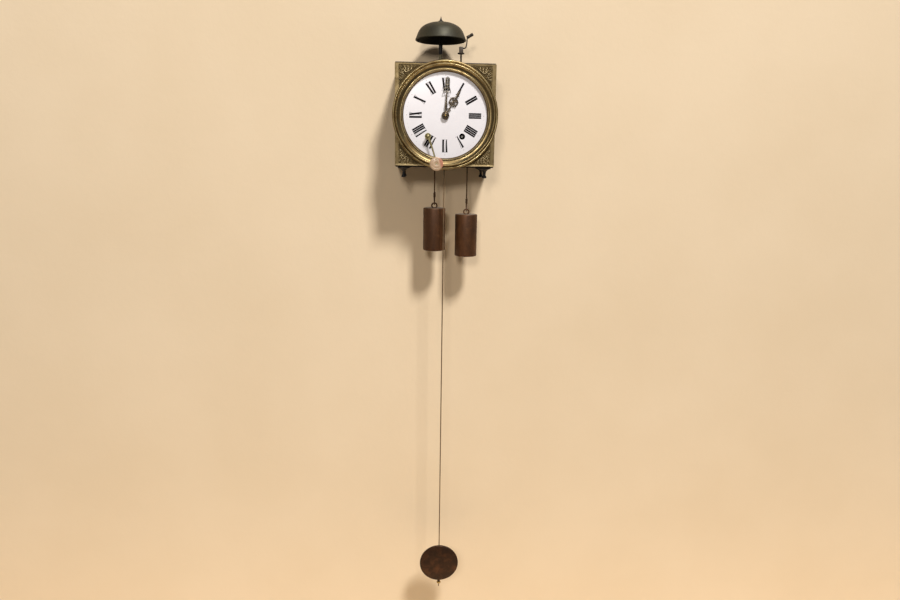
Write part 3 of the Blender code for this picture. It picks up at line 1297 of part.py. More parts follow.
def make_pendulum():
    rear = ROD_Y + SPRING_HALF_DEPTH
    front = ROD_Y - SPRING_HALF_DEPTH
    cheek_low = ROD_TOP + FIT
    pin = rod(CROSS_PIN_RADIUS, CROSS_PIN_FRONT, CROSS_PIN_REAR, at=ANCHOR_AT)
    spring = solid("suspension_spring", pin, "steel", origin_of(ANCHOR_AT))
    grow = FIT / 2
    thin, thick = SPRING_HALF_THICKNESS, CHEEK_HALF_WIDTH
    joined(
        spring,
        block((-thick, front - grow, SPRING_TOP_LOW), (thick, rear + grow, SPRING_TOP_HIGH)),
        block((-thin, front, cheek_low + RUN), (thin, rear, SPRING_TOP_LOW + RUN)),
        block((-thick, front - grow, cheek_low), (thick, rear + grow, CHEEK_TOP)),
    )
    place = (0, ROD_Y)
    overlap = ROD_RADIUS / 3
    upper = rod(ROD_RADIUS, STIRRUP_HALF_HEIGHT - overlap, ROD_TOP, "Z", place)
    pendulum_rod = solid("pendulum_rod", upper, "rod brass", origin_of(ANCHOR_AT))
    tall = STIRRUP_HALF_HEIGHT / STIRRUP_HALF_WIDTH
    stirrup = hooped(circle(STIRRUP_HALF_WIDTH, sides=16, tall=tall), ROD_RADIUS * 4 / 5, ROD_Y)
    lower = rod(ROD_RADIUS, ROD_TIP, overlap - STIRRUP_HALF_HEIGHT, "Z", place)
    joined(pendulum_rod, stirrup, lower)
    half = [(BOB_RADIUS * out, BOB_HALF_THICKNESS * deep) for out, deep in BOB_SHARES]
    profile = [(radius, ROD_Y - depth) for radius, depth in half]
    profile += [(radius, ROD_Y + depth) for radius, depth in reversed(half)]
    bob = solid("pendulum_bob", turned(profile, at=(0, BOB_Z), sides=28), "bob brass")
    ferrule = rod(FERRULE_RADIUS, NUT_TOP + FIT, BOB_Z - BOB_RADIUS + 2 * FERRULE_RADIUS, "Z", place)
    joined(bob, ferrule)
    cut(bob, rod(bored(ROD_RADIUS), ROD_TIP, BOB_Z + 2 * BOB_RADIUS, "Z", place))
    chamfer = NUT_HEIGHT / 6
    bore = bored(ROD_RADIUS)
    low = NUT_TOP - NUT_HEIGHT
    profile = [
        (bore, low),
        (NUT_RADIUS - chamfer, low),
        (NUT_RADIUS, low + chamfer),
        (NUT_RADIUS, NUT_TOP - chamfer),
        (NUT_RADIUS - chamfer, NUT_TOP),
        (bore, NUT_TOP),
    ]
    solid("rating_nut", turned(profile, "Z", place, WHEEL_SIDES), "wheel brass", (*place, 0))


# Weights and hanging cords


def make_weight(side_name, x, top, height):
    place = (x, CORD_Y)
    bottom = top - height
    ring_z = top + RING_RISE
    origin = (*place, 0)
    edge = WEIGHT_RADIUS - WEIGHT_CHAMFER
    profile = [
        (0, bottom),
        (edge, bottom),
        (WEIGHT_RADIUS, bottom + WEIGHT_CHAMFER),
        (WEIGHT_RADIUS, top - WEIGHT_CHAMFER),
        (edge, top),
        (0, top),
    ]
    weight = solid(side_name + "_weight", turned(profile, "Z", place, FINE_SIDES), "weight iron", origin)
    joined(weight, hooped(circle(RING_RADIUS, (x, ring_z), 12), RING_WIRE, CORD_Y))
    low = ring_z + RING_RADIUS + RING_WIRE + FIT
    high = DRUM_Z - 2 * CORD_RADIUS - FIT
    knot = low + KNOT_HEIGHT
    profile = [
        (0, low),
        (CORD_RADIUS, low),
        (CORD_RADIUS, low + KNOT_HEIGHT / 2),
        (KNOT_RADIUS, knot),
        (KNOT_RADIUS, knot + KNOT_HEIGHT / 2),
        (CORD_RADIUS, knot + KNOT_HEIGHT),
        (CORD_RADIUS, high),
        (0, high),
    ]
    solid(side_name + "_cord", turned(profile, "Z", place, 10), "cord", origin)


def main():
    make_top_plate()
    make_bottom_plate()
    make_back_plate()
    make_pillars()
    make_wall_hoop()
    make_front_plate()
    make_bezel()
    make_dial()
    make_doors()
    make_bars()
    make_motion_bridge()
    make_pendulum_cock()
    make_winding("going", GOING_DRUM_AT)
    make_winding("strike", STRIKE_DRUM_AT)
    make_going_train()
    make_strike_train()
    make_escapement()
    make_crutch()
    make_motion_work()
    make_hands()
    make_bell()
    make_hammer()
    make_pendulum()
    make_weight("left", CORD_SEAT - DRUM_X, GOING_WEIGHT_TOP, GOING_WEIGHT_HEIGHT)
    make_weight("right", CORD_SEAT + DRUM_X, STRIKE_WEIGHT_TOP, STRIKE_WEIGHT_HEIGHT)


main()
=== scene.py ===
"""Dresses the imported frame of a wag-on-the-wall clock: stamped brass front, enamel dial, bell,
weights on twisted cords and a long pendulum, on a plain wall under soft studio light."""

import json
import math

import bmesh
import bpy
import numpy as np
from bpy.props import FloatProperty, FloatVectorProperty, IntProperty, PointerProperty
from mathutils import Matrix, Vector
from mathutils.geometry import delaunay_2d_cdt

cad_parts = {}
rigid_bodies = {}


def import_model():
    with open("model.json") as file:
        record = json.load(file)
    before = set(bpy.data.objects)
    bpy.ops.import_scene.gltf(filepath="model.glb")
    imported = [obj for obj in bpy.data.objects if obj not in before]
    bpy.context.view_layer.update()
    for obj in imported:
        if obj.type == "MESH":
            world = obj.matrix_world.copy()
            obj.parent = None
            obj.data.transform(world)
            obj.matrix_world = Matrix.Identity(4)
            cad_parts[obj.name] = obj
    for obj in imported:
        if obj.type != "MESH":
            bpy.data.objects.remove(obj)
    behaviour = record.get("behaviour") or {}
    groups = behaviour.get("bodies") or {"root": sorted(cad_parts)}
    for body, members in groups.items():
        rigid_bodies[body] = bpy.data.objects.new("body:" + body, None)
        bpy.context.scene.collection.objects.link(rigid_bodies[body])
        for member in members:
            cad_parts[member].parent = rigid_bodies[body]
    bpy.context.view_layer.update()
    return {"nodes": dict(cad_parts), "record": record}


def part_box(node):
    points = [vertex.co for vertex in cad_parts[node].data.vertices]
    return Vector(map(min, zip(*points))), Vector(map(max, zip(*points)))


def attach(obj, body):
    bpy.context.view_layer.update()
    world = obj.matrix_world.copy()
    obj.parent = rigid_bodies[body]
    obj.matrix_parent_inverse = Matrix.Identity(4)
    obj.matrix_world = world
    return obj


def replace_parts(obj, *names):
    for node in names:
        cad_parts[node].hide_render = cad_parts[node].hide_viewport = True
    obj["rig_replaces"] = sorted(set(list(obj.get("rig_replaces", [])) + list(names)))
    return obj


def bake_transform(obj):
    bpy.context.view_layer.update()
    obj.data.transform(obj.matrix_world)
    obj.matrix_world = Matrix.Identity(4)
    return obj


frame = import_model()

bl_info = {
    "name": "Wag-on-the-wall clock",
    "version": (1, 0, 0),
    "blender": (4, 5, 0),
    "location": "View3D > Sidebar > Clock",
    "description": "Dresses a wall clock with a bell, two weights and a long pendulum",
    "category": "Object",
}

TAU = math.tau


# Sizes and colours that a user would change


def length(name, default, description):
    return FloatProperty(name=name, description=description, default=default, unit="LENGTH", precision=5)


def bearing(name, degrees, description):
    return FloatProperty(name=name, description=description, default=math.radians(degrees), unit="ROTATION")


def colour(name, default, description):
    return FloatVectorProperty(
        name=name, description=description, default=default, subtype="COLOR", size=3, min=0.0, max=1.0
    )


class ClockCaseSettings(bpy.types.PropertyGroup):
    """Sizes of the iron case and its stamped front"""

    half_width: length("Half width", 0.127, "Half the width of the stamped front")
    half_height: length("Half height", 0.1255, "Half the height of the stamped front")
    face: length("Front face", -0.150, "Place of the front's flat face along Y")
    margin: length("Plain margin", 0.0085, "Width of the plain margin round the stamped corners")
    relief: length("Relief", 0.0026, "Height of the stamped leaves")
    pillar_half: length("Pillar half width", 0.0045, "Half the width of a square pillar")
    foot_radius: length("Foot radius", 0.016, "Radius of the disc at the top of a foot")
    foot_bottom: length("Foot bottom", -0.155, "Lowest point of the feet")


class ClockDialSettings(bpy.types.PropertyGroup):
    """Sizes of the bezel, the dial, its numerals and the hands"""

    bezel_radius: length("Bezel radius", 0.134, "Outer radius of the bezel")
    opening: length("Opening", 0.1054, "Inner radius of the bezel")
    dial_radius: length("Dial radius", 0.1072, "Radius of the enamel dial")
    dial_rear: length("Dial rear", -0.1518, "Rear edge of the dial along Y")
    dial_rise: length("Dial rise", 0.0045, "How far the dial's middle stands forward of its edge")
    dial_thickness: length("Dial thickness", 0.001, "Thickness of the enamelled plate")
    numeral_inner: length("Numeral foot", 0.0592, "Radius of the numerals' feet")
    numeral_outer: length("Numeral top", 0.0908, "Radius of the numerals' tops")
    hub_radius: length("Hub radius", 0.0095, "Radius of the hands' round hubs")
    minute_length: length("Minute hand", 0.093, "Length of the minute hand from the centre")
    hour_length: length("Hour hand", 0.075, "Length of the hour hand from the centre")
    minute_angle: bearing("Minute angle", 3, "Lean of the minute hand to the right")
    hour_angle: bearing("Hour angle", 31.5, "Lean of the hour hand to the right")


class ClockDriveSettings(bpy.types.PropertyGroup):
    """Sizes of the bell, the weights, their cords and the pendulum"""

    bell_radius: length("Bell radius", 0.0655, "Radius of the bell's rim")
    bell_rim: length("Bell rim", 0.190, "Height of the bell's rim")
    bell_top: length("Bell top", 0.235, "Height of the bell's crown")
    weight_radius: length("Weight radius", 0.030, "Radius of a weight")
    cord_radius: length("Cord radius", 0.0018, "Radius of a cord")
    lay_length: length("Lay length", 0.0085, "Length along the cord of one full twist")
    cord_strands: IntProperty(name="Strands", description="Strands in a cord", default=3, min=2, max=4)
    rod_radius: length("Rod radius", 0.0015, "Radius of the pendulum's rod")
    bob_radius: length("Bob radius", 0.0565, "Radius of the bob")
    bob_height: length("Bob height", -1.281, "Height of the bob's middle")


class ClockFinishSettings(bpy.types.PropertyGroup):
    """Main colours of the finishes"""

    bezel: colour("Bezel", (0.35, 0.27, 0.135), "Aged brass of the bezel")
    plate: colour("Front", (0.225, 0.165, 0.078), "Tarnished brass of the stamped front")
    enamel: colour("Enamel", (0.84, 0.815, 0.845), "White of the dial")
    ink: colour("Numerals", (0.0045, 0.0032, 0.004), "Black of the numerals")
    hands: colour("Hands", (0.085, 0.066, 0.045), "Dark bronze of the hands")
    bell: colour("Bell", (0.034, 0.030, 0.019), "Dark metal of the bell")
    iron: colour("Iron", (0.018, 0.018, 0.020), "Black iron")
    weight: colour("Weights", (0.088, 0.034, 0.011), "Brown iron of the weights")
    bob: colour("Bob", (0.044, 0.018, 0.007), "Brown brass of the bob")
    cord: colour("Cord", (0.10, 0.042, 0.010), "Brown cord")
    wall: colour("Wall", (0.80, 0.64, 0.445), "Cream wall behind the clock")
    knob: colour("Key knob", (0.50, 0.345, 0.225), "Pale glaze of the winding key's knob")


# Numbers on a grid: every shell is (points, faces)


def mm(*rows):
    """Rows of numbers in millimetres, given in metres."""
    return np.array(rows, float) / 1000


def span_of(name):
    """Low corner, high corner and middle of a node's box."""
    low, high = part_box(name)
    return low, high, [(a + b) / 2 for a, b in zip(low, high)]


def quads(rows, columns, wrap_rows):
    """Faces of a grid whose columns close into rings: each cell is one four-sided face."""
    row = np.arange(rows if wrap_rows else rows - 1)[:, None]
    column = np.arange(columns)[None, :]
    after, beside = (row + 1) % rows * columns, (column + 1) % columns
    cells = [row * columns + column, row * columns + beside, after + beside, after + column]
    return np.stack([cell.reshape(-1) for cell in np.broadcast_arrays(*cells)], axis=1)


def shell(grid, wrap_rows=False):
    """A closed skin over rows of points, with the first and last row closed to a middle point or to each other."""
    rows, columns, _ = grid.shape
    points = grid.reshape(-1, 3)
    faces = quads(rows, columns, wrap_rows).tolist()
    if not wrap_rows:
        points = np.concatenate([points, [grid[0].mean(axis=0), grid[-1].mean(axis=0)]])
        here = np.arange(columns)
        after, top = (here + 1) % columns, (rows - 1) * columns
        faces += np.stack([after, here, np.full(columns, rows * columns)], axis=1).tolist()
        faces += np.stack([top + here, top + after, np.full(columns, rows * columns + 1)], axis=1).tolist()
    return points, faces


def softened(points, rounds=2):
    """Corner cutting: each edge keeps its points at a quarter and at three quarters."""
    line = np.asarray(points, float)
    for _ in range(rounds):
        before, after = line[:-1], line[1:]
        cut = np.stack([before * 0.75 + after * 0.25, before * 0.25 + after * 0.75], axis=1)
        line = np.concatenate([line[:1], cut.reshape(-1, line.shape[1]), line[-1:]])
    return line


AXES = {
    "X": np.array([[0, 1, 0], [0, 0, 1], [1, 0, 0]], float),
    "Y": np.array([[1, 0, 0], [0, 0, 1], [0, 1, 0]], float),
    "Z": np.array([[1, 0, 0], [0, 1, 0], [0, 0, 1]], float),
}


def turned(profile, axis="Y", centre=(0, 0, 0), sides=96, closed=False, squareness=2.0):
    """A turned shape: radius and place along the axis are the profile's, swept by angle. Where squareness is
    above 2 the circle becomes the curve |x|^n + |y|^n = 1."""
    profile = np.asarray(profile, float)
    angle = np.linspace(0, TAU, sides, endpoint=False)
    across, up = np.cos(angle), np.sin(angle)
    power = np.broadcast_to(np.asarray(squareness, float), len(profile))[:, None]
    spread = (np.abs(across)[None] ** power + np.abs(up)[None] ** power) ** (-1 / power)
    reach = profile[:, :1] * spread
    local = np.stack([reach * across, reach * up, np.broadcast_to(profile[:, 1:], reach.shape)], axis=-1)
    return shell(local @ AXES[axis] + np.asarray(centre, float), wrap_rows=closed)


def swept(path, width, depth=None, side=(0, 1, 0), sides=16, closed=False, power=2.0):
    """An oval carried along a path: width lies across the path and depth along the given side vector."""
    path = np.asarray(path, float)
    width = np.broadcast_to(np.asarray(width, float), len(path))
    depth = width if depth is None else np.broadcast_to(np.asarray(depth, float), len(path))
    ahead = np.roll(path, -1, axis=0) - np.roll(path, 1, axis=0) if closed else np.gradient(path, axis=0)
    ahead /= np.linalg.norm(ahead, axis=1, keepdims=True)
    across = np.cross(ahead, np.asarray(side, float))
    across /= np.linalg.norm(across, axis=1, keepdims=True)
    deep = np.cross(across, ahead)
    angle = np.linspace(0, TAU, sides, endpoint=False)
    c, s = np.cos(angle), np.sin(angle)
    spread = (np.abs(c) ** power + np.abs(s) ** power) ** (-1 / power)
    grid = path[:, None] + across[:, None] * (width[:, None] * c * spread)[..., None]
    return shell(grid + deep[:, None] * (depth[:, None] * s * spread)[..., None], wrap_rows=closed)


def arc(centre, radius, start, end, count=24, tall=1.0):
    """Points of an arc as X and Z: centre plus radius times cosine and sine."""
    angle = np.radians(np.linspace(start, end, count))
    return np.stack([centre[0] + radius * np.cos(angle), centre[1] + radius * tall * np.sin(angle)], axis=1)


def loop_of(centre, radius, count, tall=1.0):
    """Points of a full circle, or of an oval that is taller than it is wide."""
    return arc(centre, radius, 0, 360, count + 1, tall)[:-1]


def upright(line, y):
    """X and Z points set at one depth."""
    line = np.asarray(line, float)
    return np.stack([line[:, 0], np.broadcast_to(y, len(line)), line[:, 1]], axis=1)


def leaned(shells, angle):
    """Shells turned about the Y axis through the centre, by an angle to the viewer's right."""
    c, s = math.cos(angle), math.sin(angle)
    turn = np.array([[c, 0, -s], [0, 1, 0], [s, 0, c]])
    return [(points @ turn, faces) for points, faces in shells]


def made(name, shells, material, body, replaced=None, slot=None, smooth=40, **attributes):
    """Joins shells into one finished object that rides on a body. Each attribute has one value for each point."""
    points, faces, base = [], [], 0
    for shell_points, shell_faces in shells:
        points.append(shell_points)
        faces += [tuple(index + base for index in face) for face in shell_faces]
        base += len(shell_points)
    mesh = bpy.data.meshes.new(name)
    mesh.from_pydata(np.concatenate(points).tolist(), [], faces)
    for title, values in attributes.items():
        layer = mesh.attributes.new(title, "FLOAT", "POINT")
        layer.data.foreach_set("value", np.asarray(values, np.float32))
    tidy = bmesh.new()
    tidy.from_mesh(mesh)
    bmesh.ops.recalc_face_normals(tidy, faces=tidy.faces)
    tidy.to_mesh(mesh)
    tidy.free()
    mesh.shade_smooth()
    mesh.set_sharp_from_angle(angle=math.radians(smooth))
    mesh.materials.append(material)
    piece = bpy.data.objects.new(name, mesh)
    bpy.context.scene.collection.objects.link(piece)
    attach(piece, body)
    if replaced:
        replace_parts(piece, replaced)
    return piece


# Finishes


class Nodes:
    """Short way to add shader nodes to a material."""

    def __init__(self, name):
        self.material = bpy.data.materials.new(name)
        self.material.use_nodes = True
        self.tree = self.material.node_tree
        self.shader = self.tree.nodes["Principled BSDF"]
        self.place = self.add("ShaderNodeTexCoord").outputs["Object"]

    @property
    def body(self):
        """What colours the surface so far."""
        return self.shader.inputs["Base Color"].links[0].from_socket

    def paint(self, source, **values):
        """Colours the surface, and sets inputs of the shader that are named with _ for a space."""
        self.link(source, self.shader.inputs["Base Color"])
        for name, value in values.items():
            self.shader.inputs[name.replace("_", " ")].default_value = value

    def add(self, kind, **settings):
        node = self.tree.nodes.new(kind)
        for key, value in settings.items():
            setattr(node, key, value)
        return node

    def link(self, source, target):
        self.tree.links.new(source, target)

    def noise(self, scale, detail=4.0, rough=0.55, stretch=None, distortion=0.0):
        node = self.add("ShaderNodeTexNoise")
        values = {"Scale": scale, "Detail": detail, "Roughness": rough, "Distortion": distortion}
        for name, value in values.items():
            node.inputs[name].default_value = value
        place = self.place
        if stretch:
            mapping = self.add("ShaderNodeMapping")
            mapping.inputs["Scale"].default_value = stretch
            self.link(place, mapping.inputs["Vector"])
            place = mapping.outputs["Vector"]
        self.link(place, node.inputs["Vector"])
        return node.outputs["Fac"]

    def ramp(self, source, *stops):
        """Each stop is (place, colour or grey value)."""
        node = self.add("ShaderNodeValToRGB")
        elements = node.color_ramp.elements
        while len(elements) < len(stops):
            elements.new(1.0)
        for element, (place, value) in zip(elements, stops):
            element.position = place
            element.color = (value, value, value, 1.0) if isinstance(value, (int, float)) else (*value, 1.0)
        self.link(source, node.inputs["Fac"])
        return node.outputs["Color"]

    def mix(self, factor, first, second, blend="MIX"):
        node = self.add("ShaderNodeMix", data_type="RGBA", blend_type=blend)
        for name, value in (("Factor", factor), ("A", first), ("B", second)):
            if isinstance(value, bpy.types.NodeSocket):
                self.link(value, node.inputs[name])
            elif isinstance(value, (int, float)):
                node.inputs[name].default_value = value
            else:
                node.inputs[name].default_value = (*value, 1.0)
        return node.outputs["Result"]

    def attribute(self, name):
        return self.add("ShaderNodeAttribute", attribute_name=name).outputs["Fac"]

    def bump(self, height, strength, distance):
        node = self.add("ShaderNodeBump")
        node.inputs["Strength"].default_value = strength
        node.inputs["Distance"].default_value = distance
        self.link(height, node.inputs["Height"])
        normal = self.shader.inputs["Normal"]
        if normal.is_linked:
            self.link(normal.links[0].from_socket, node.inputs["Normal"])
        self.link(node.outputs["Normal"], normal)


def warmed(base, red, green=None, blue=None):
    """A colour whose channels are multiplied, all by the first factor if it is the only one."""
    factors = (red, red, red) if green is None else (red, green, blue)
    return tuple(min(1.0, channel * factor) for channel, factor in zip(base, factors))


def aged_metal(name, base, dark, light, metallic, low_rough, high_rough, scale, grain=0.00006, stretch=None):
    """Metal with cloudy patina in three shades, fine grain in the bump and uneven gloss."""
    nodes = Nodes(name)
    cloud = nodes.noise(scale, 6.0, 0.62, stretch, 0.4)
    fine = nodes.noise(scale * 14, 3.0, 0.6)
    shade = nodes.ramp(cloud, (0.30, dark), (0.50, base), (0.72, light))
    speckle = nodes.ramp(fine, (0.30, 0.72), (0.62, 1.0))
    nodes.paint(nodes.mix(0.8, shade, speckle, "MULTIPLY"), Metallic=metallic)
    gloss = nodes.ramp(cloud, (0.30, high_rough), (0.70, low_rough))
    nodes.link(gloss, nodes.shader.inputs["Roughness"])
    nodes.bump(fine, 0.35, grain)
    nodes.bump(cloud, 0.25, grain * 4)
    return nodes


# Base colour, dark and light shade, metallic value, least and greatest roughness and the size of the clouds
METALS = {
    "key brass": ((0.30, 0.255, 0.12), (0.13, 0.10, 0.04), (0.46, 0.42, 0.24), 0.75, 0.36, 0.52, 120.0),
    "wheel brass": ((0.50, 0.34, 0.12), (0.30, 0.19, 0.06), (0.66, 0.49, 0.22), 1.0, 0.22, 0.38, 90.0),
    "rod brass": ((0.20, 0.125, 0.065), (0.11, 0.066, 0.032), (0.27, 0.185, 0.11), 0.55, 0.42, 0.60, 30.0),
    "bright steel": ((0.42, 0.41, 0.40), (0.22, 0.20, 0.18), (0.62, 0.61, 0.60), 1.0, 0.22, 0.36, 120.0),
    "minute gilt": ((0.20, 0.17, 0.125), (0.09, 0.072, 0.05), (0.36, 0.32, 0.25), 0.85, 0.30, 0.46, 240.0),
}

# The same for metals whose base is a colour of the settings: both shades are factors of it, and some add the height
# of the grain and a stretch
SET_METALS = {
    "bezel brass": ("bezel", (0.55, 0.48, 0.42), (1.35, 1.42, 1.5), 1.0, 0.26, 0.44, 34.0),
    "stamped brass": ("plate", (0.66, 0.62, 0.58), (1.3, 1.33, 1.4), 0.85, 0.38, 0.56, 55.0),
    "black iron": ("iron", (0.5,), (2.4, 2.0, 1.7), 0.55, 0.42, 0.66, 70.0, 0.00012),
    "hand bronze": ("hands", (0.5,), (2.2, 2.1, 2.0), 0.85, 0.30, 0.46, 220.0),
    "bell metal": ("bell", (0.72,), (1.45, 1.5, 1.3), 0.45, 0.52, 0.64, 20.0),
    "weight iron": (
        "weight", (0.55, 0.55, 0.6), (1.9, 1.9, 2.1), 0.45, 0.40, 0.62, 26.0, 0.00025, (1.0, 1.0, 0.35),
    ),
    "bob brass": ("bob", (0.6,), (2.1, 1.9, 1.8), 0.6, 0.36, 0.55, 45.0, 0.00015),
}


def metal(name):
    return aged_metal(name, *METALS[name]).material


def set_metal(finish, name, title=None):
    """A metal in a colour of the settings, with its nodes still open to additions, and that colour."""
    setting, dark, light, *rest = SET_METALS[name]
    base = tuple(getattr(finish, setting))
    return aged_metal(title or name, base, warmed(base, *dark), warmed(base, *light), *rest), base


def bezel_brass(finish):
    """Aged brass, brown with patina in the wide turned hollow and rubbed to a green gold on the ridges, with painted
    shade as dark lines in the narrow groove and along the inner edge where the bezel meets the dial.
    """
    nodes, base = set_metal(finish, "bezel brass")
    nodes.paint(nodes.mix(nodes.attribute("tarnish"), nodes.body, warmed(base, 0.30, 0.22, 0.15)))
    return nodes.material


def stamped_brass(finish):
    """Tarnish lies in the hollows of the stamped relief and the raised leaves are rubbed lighter."""
    nodes, _ = set_metal(finish, "stamped brass")
    height = nodes.attribute("relief")
    hollow = nodes.mix(nodes.ramp(height, (0.02, 0.9), (0.30, 0.0)), nodes.body, (0.105, 0.072, 0.028))
    worn = nodes.mix(nodes.ramp(height, (0.45, 0.0), (0.95, 0.8)), hollow, (0.40, 0.325, 0.19))
    nodes.paint(nodes.mix(nodes.attribute("margin"), worn, nodes.body))
    return nodes.material


def black_iron(finish, title="black iron"):
    """Black iron with small patches of rust."""
    nodes, _ = set_metal(finish, "black iron", title)
    rust = nodes.ramp(nodes.noise(24.0, 8.0, 0.7, None, 0.8), (0.58, 0.0), (0.70, 0.75))
    nodes.paint(nodes.mix(rust, nodes.body, (0.055, 0.022, 0.008)))
    return nodes.material


def worn_iron(name, base):
    """Bare iron that has gone dull and a little coloured."""
    return aged_metal(name, base, warmed(base, 0.55), warmed(base, 1.4), 0.35, 0.46, 0.62, 80.0, 0.00008).material


def weight_iron(finish):
    """Brown cast iron, streaked downwards, with rust in patches and a rough skin."""
    nodes, _ = set_metal(finish, "weight iron")
    rust = nodes.ramp(nodes.noise(60.0, 8.0, 0.7), (0.55, 0.0), (0.75, 0.6))
    nodes.paint(nodes.mix(rust, nodes.body, (0.17, 0.075, 0.028)))
    return nodes.material


def white_enamel(finish):
    """Glassy white with a trace of grey mottle and a clear top layer."""
    nodes, base = Nodes("white enamel"), tuple(finish.enamel)
    mottle = nodes.ramp(nodes.noise(22.0, 5.0, 0.6), (0.35, warmed(base, 0.965, 0.95, 0.955)), (0.65, base))
    nodes.paint(mottle, Roughness=0.40, Coat_Weight=0.15, Coat_Roughness=0.20)
    nodes.bump(nodes.noise(90.0, 2.0), 0.15, 0.00008)
    return nodes.material


def numeral_ink(finish):
    nodes, base = Nodes("numeral black"), tuple(finish.ink)
    tone = nodes.ramp(nodes.noise(400.0, 3.0), (0.35, base), (0.75, warmed(base, 1.6)))
    nodes.paint(tone, Roughness=0.55, Specular_IOR_Level=0.12)
    return nodes.material


def faint_ink():
    """The worn minute marks are a thin brownish grey."""
    nodes = Nodes("faint ink")
    tone = nodes.ramp(nodes.noise(300.0, 4.0), (0.35, (0.30, 0.22, 0.20)), (0.65, (0.62, 0.52, 0.50)))
    nodes.paint(tone, Roughness=0.45)
    return nodes.material


def glazed_knob(finish):
    """Pale glaze with a rubbed salmon patch on one side, fine cracks and a clear gloss."""
    nodes, base = Nodes("pale glaze"), tuple(finish.knob)
    cloud = nodes.noise(95.0, 5.0, 0.6)
    light, dark = warmed(base, 1.18, 1.22, 1.25), warmed(base, 0.82, 0.80, 0.78)
    tone = nodes.ramp(cloud, (0.32, dark), (0.50, base), (0.70, light))
    rubbed = nodes.mix(nodes.attribute("salmon"), (0, 0, 0), nodes.ramp(cloud, (0.38, 0.4), (0.55, 1.0)))
    salmon = nodes.mix(rubbed, tone, (0.47, 0.20, 0.13))
    crack = nodes.ramp(nodes.noise(420.0, 2.0, 0.4, None, 1.2), (0.47, 1.0), (0.50, 0.72), (0.53, 1.0))
    nodes.paint(nodes.mix(0.6, salmon, crack, "MULTIPLY"), Roughness=0.28, Coat_Weight=0.3)
    nodes.bump(cloud, 0.15, 0.0001)
    return nodes.material


def twisted_cord(finish):
    """Brown fibres that follow the strands, with painted shade darkening the grooves between them."""
    nodes, base = Nodes("twisted cord"), tuple(finish.cord)
    fibre = nodes.noise(900.0, 3.0, 0.7, (1.0, 1.0, 0.25))
    # Painted shade: the colour is darkened where the strand crest is low, in the grooves between the strands.
    painted_strand_gap_shade = nodes.ramp(nodes.attribute("strand"), (0.0, 1.0), (0.6, 0.0))
    shade = nodes.mix(painted_strand_gap_shade, base, warmed(base, 0.35))
    shade = nodes.mix(0.7, shade, nodes.ramp(fibre, (0.3, 0.6), (0.7, 1.0)), "MULTIPLY")
    nodes.paint(shade, Roughness=0.85, Sheen_Weight=0.15)
    nodes.bump(fibre, 0.5, 0.0002)
    return nodes.material


def wall_plaster(finish):
    """Cream plaster with a soft roller texture. From behind it can't be seen, and lamps shine through it."""
    nodes, base = Nodes("wall plaster"), tuple(finish.wall)
    nodes.paint(nodes.ramp(nodes.noise(2.2, 5.0), (0.35, warmed(base, 0.96, 0.95, 0.93)), (0.65, base)), Roughness=0.75)
    nodes.bump(nodes.noise(55.0, 6.0, 0.6), 0.35, 0.0012)
    clear, chosen = nodes.add("ShaderNodeBsdfTransparent"), nodes.add("ShaderNodeMixShader")
    either = nodes.add("ShaderNodeMath", operation="MAXIMUM")
    nodes.link(nodes.add("ShaderNodeNewGeometry").outputs["Backfacing"], either.inputs[0])
    nodes.link(nodes.add("ShaderNodeLightPath").outputs["Is Shadow Ray"], either.inputs[1])
    nodes.link(either.outputs["Value"], chosen.inputs["Fac"])
    nodes.link(nodes.shader.outputs["BSDF"], chosen.inputs[1])
    nodes.link(clear.outputs["BSDF"], chosen.inputs[2])
    nodes.link(chosen.outputs["Shader"], nodes.tree.nodes["Material Output"].inputs["Surface"])
    return nodes.material


def floor_plain(finish):
    nodes, base = Nodes("plain floor"), tuple(finish.wall)
    nodes.paint(nodes.ramp(nodes.noise(3.0), (0.3, warmed(base, 0.97)), (0.7, base)), Roughness=0.7)
    return nodes.material


# Case and stamped front


def square_pillar(place, case):
    """A riveted pillar: a turned shape whose middle is squared, with a turned foot under it."""
    half, foot, low = case.pillar_half * 1000, case.foot_radius * 1000, case.foot_bottom * 1000
    profile = mm(
        (2.2, 130.8), (4.0, 130.3), (4.9, 129.3), (5.0, 128.8), (3.0, 128.8), (3.0, 125.2),
        (half - 0.5, 125.2), (half, 124.6), (half, -124.6), (half - 0.5, -125.2),
        (3.0, -125.2), (3.0, -128.8), (foot - 0.6, -128.8), (foot, -129.3), (foot, -130.8), (foot - 0.7, -131.5),
        (foot - 3.6, -132.3), (foot - 7.8, -134.2), (5.8, -136.4), (4.3, -138.6), (3.5, -141.0), (3.3, -143.8),
        (3.4, -147.0), (4.1, -149.0), (5.1, -150.3), (5.7, -151.7), (5.7, low + 1.0), (5.0, low),
    )
    return turned(profile, "Z", (*place, 0), 48, squareness=[2] * 6 + [9] * 4 + [2] * 18)


class CLOCK_OT_case(bpy.types.Operator):
    """Pillars with turned feet and the hoop that the clock hangs from"""

    bl_idname = "clock.case"
    bl_label = "Case"

    def execute(self, context):
        scene = context.scene
        iron = black_iron(scene.clock_finish)
        for name in ("left_rear_pillar", "left_front_pillar", "right_rear_pillar", "right_front_pillar"):
            pillar = square_pillar(span_of(name)[2][:2], scene.clock_case)
            made("turned_" + name, [pillar], iron, "case", name, "iron", 32)
        _, high, (_, y, _) = span_of("wall_hoop")
        half, spring = 0.015, high.z - 0.017
        leg = np.stack([np.full(8, half), np.linspace(0.1293, spring, 8)], axis=1)
        line = np.concatenate([leg, arc((0, spring), half, 0, 180, 28)[1:-1], leg[::-1] * (-1, 1)])
        hoop = swept(upright(line, y), 0.0019, sides=24)
        pad = mm((1.2, 128.8), (4.6, 128.8), (4.8, 129.3), (4.6, 130.0), (2.6, 130.6), (1.9, 131.8))
        pads = [turned(pad, "Z", (side * half, y, 0), 32) for side in (-1, 1)]
        made("hanging_hoop_wire", [hoop, *pads], iron, "case", "wall_hoop", "iron")
        return {"FINISHED"}


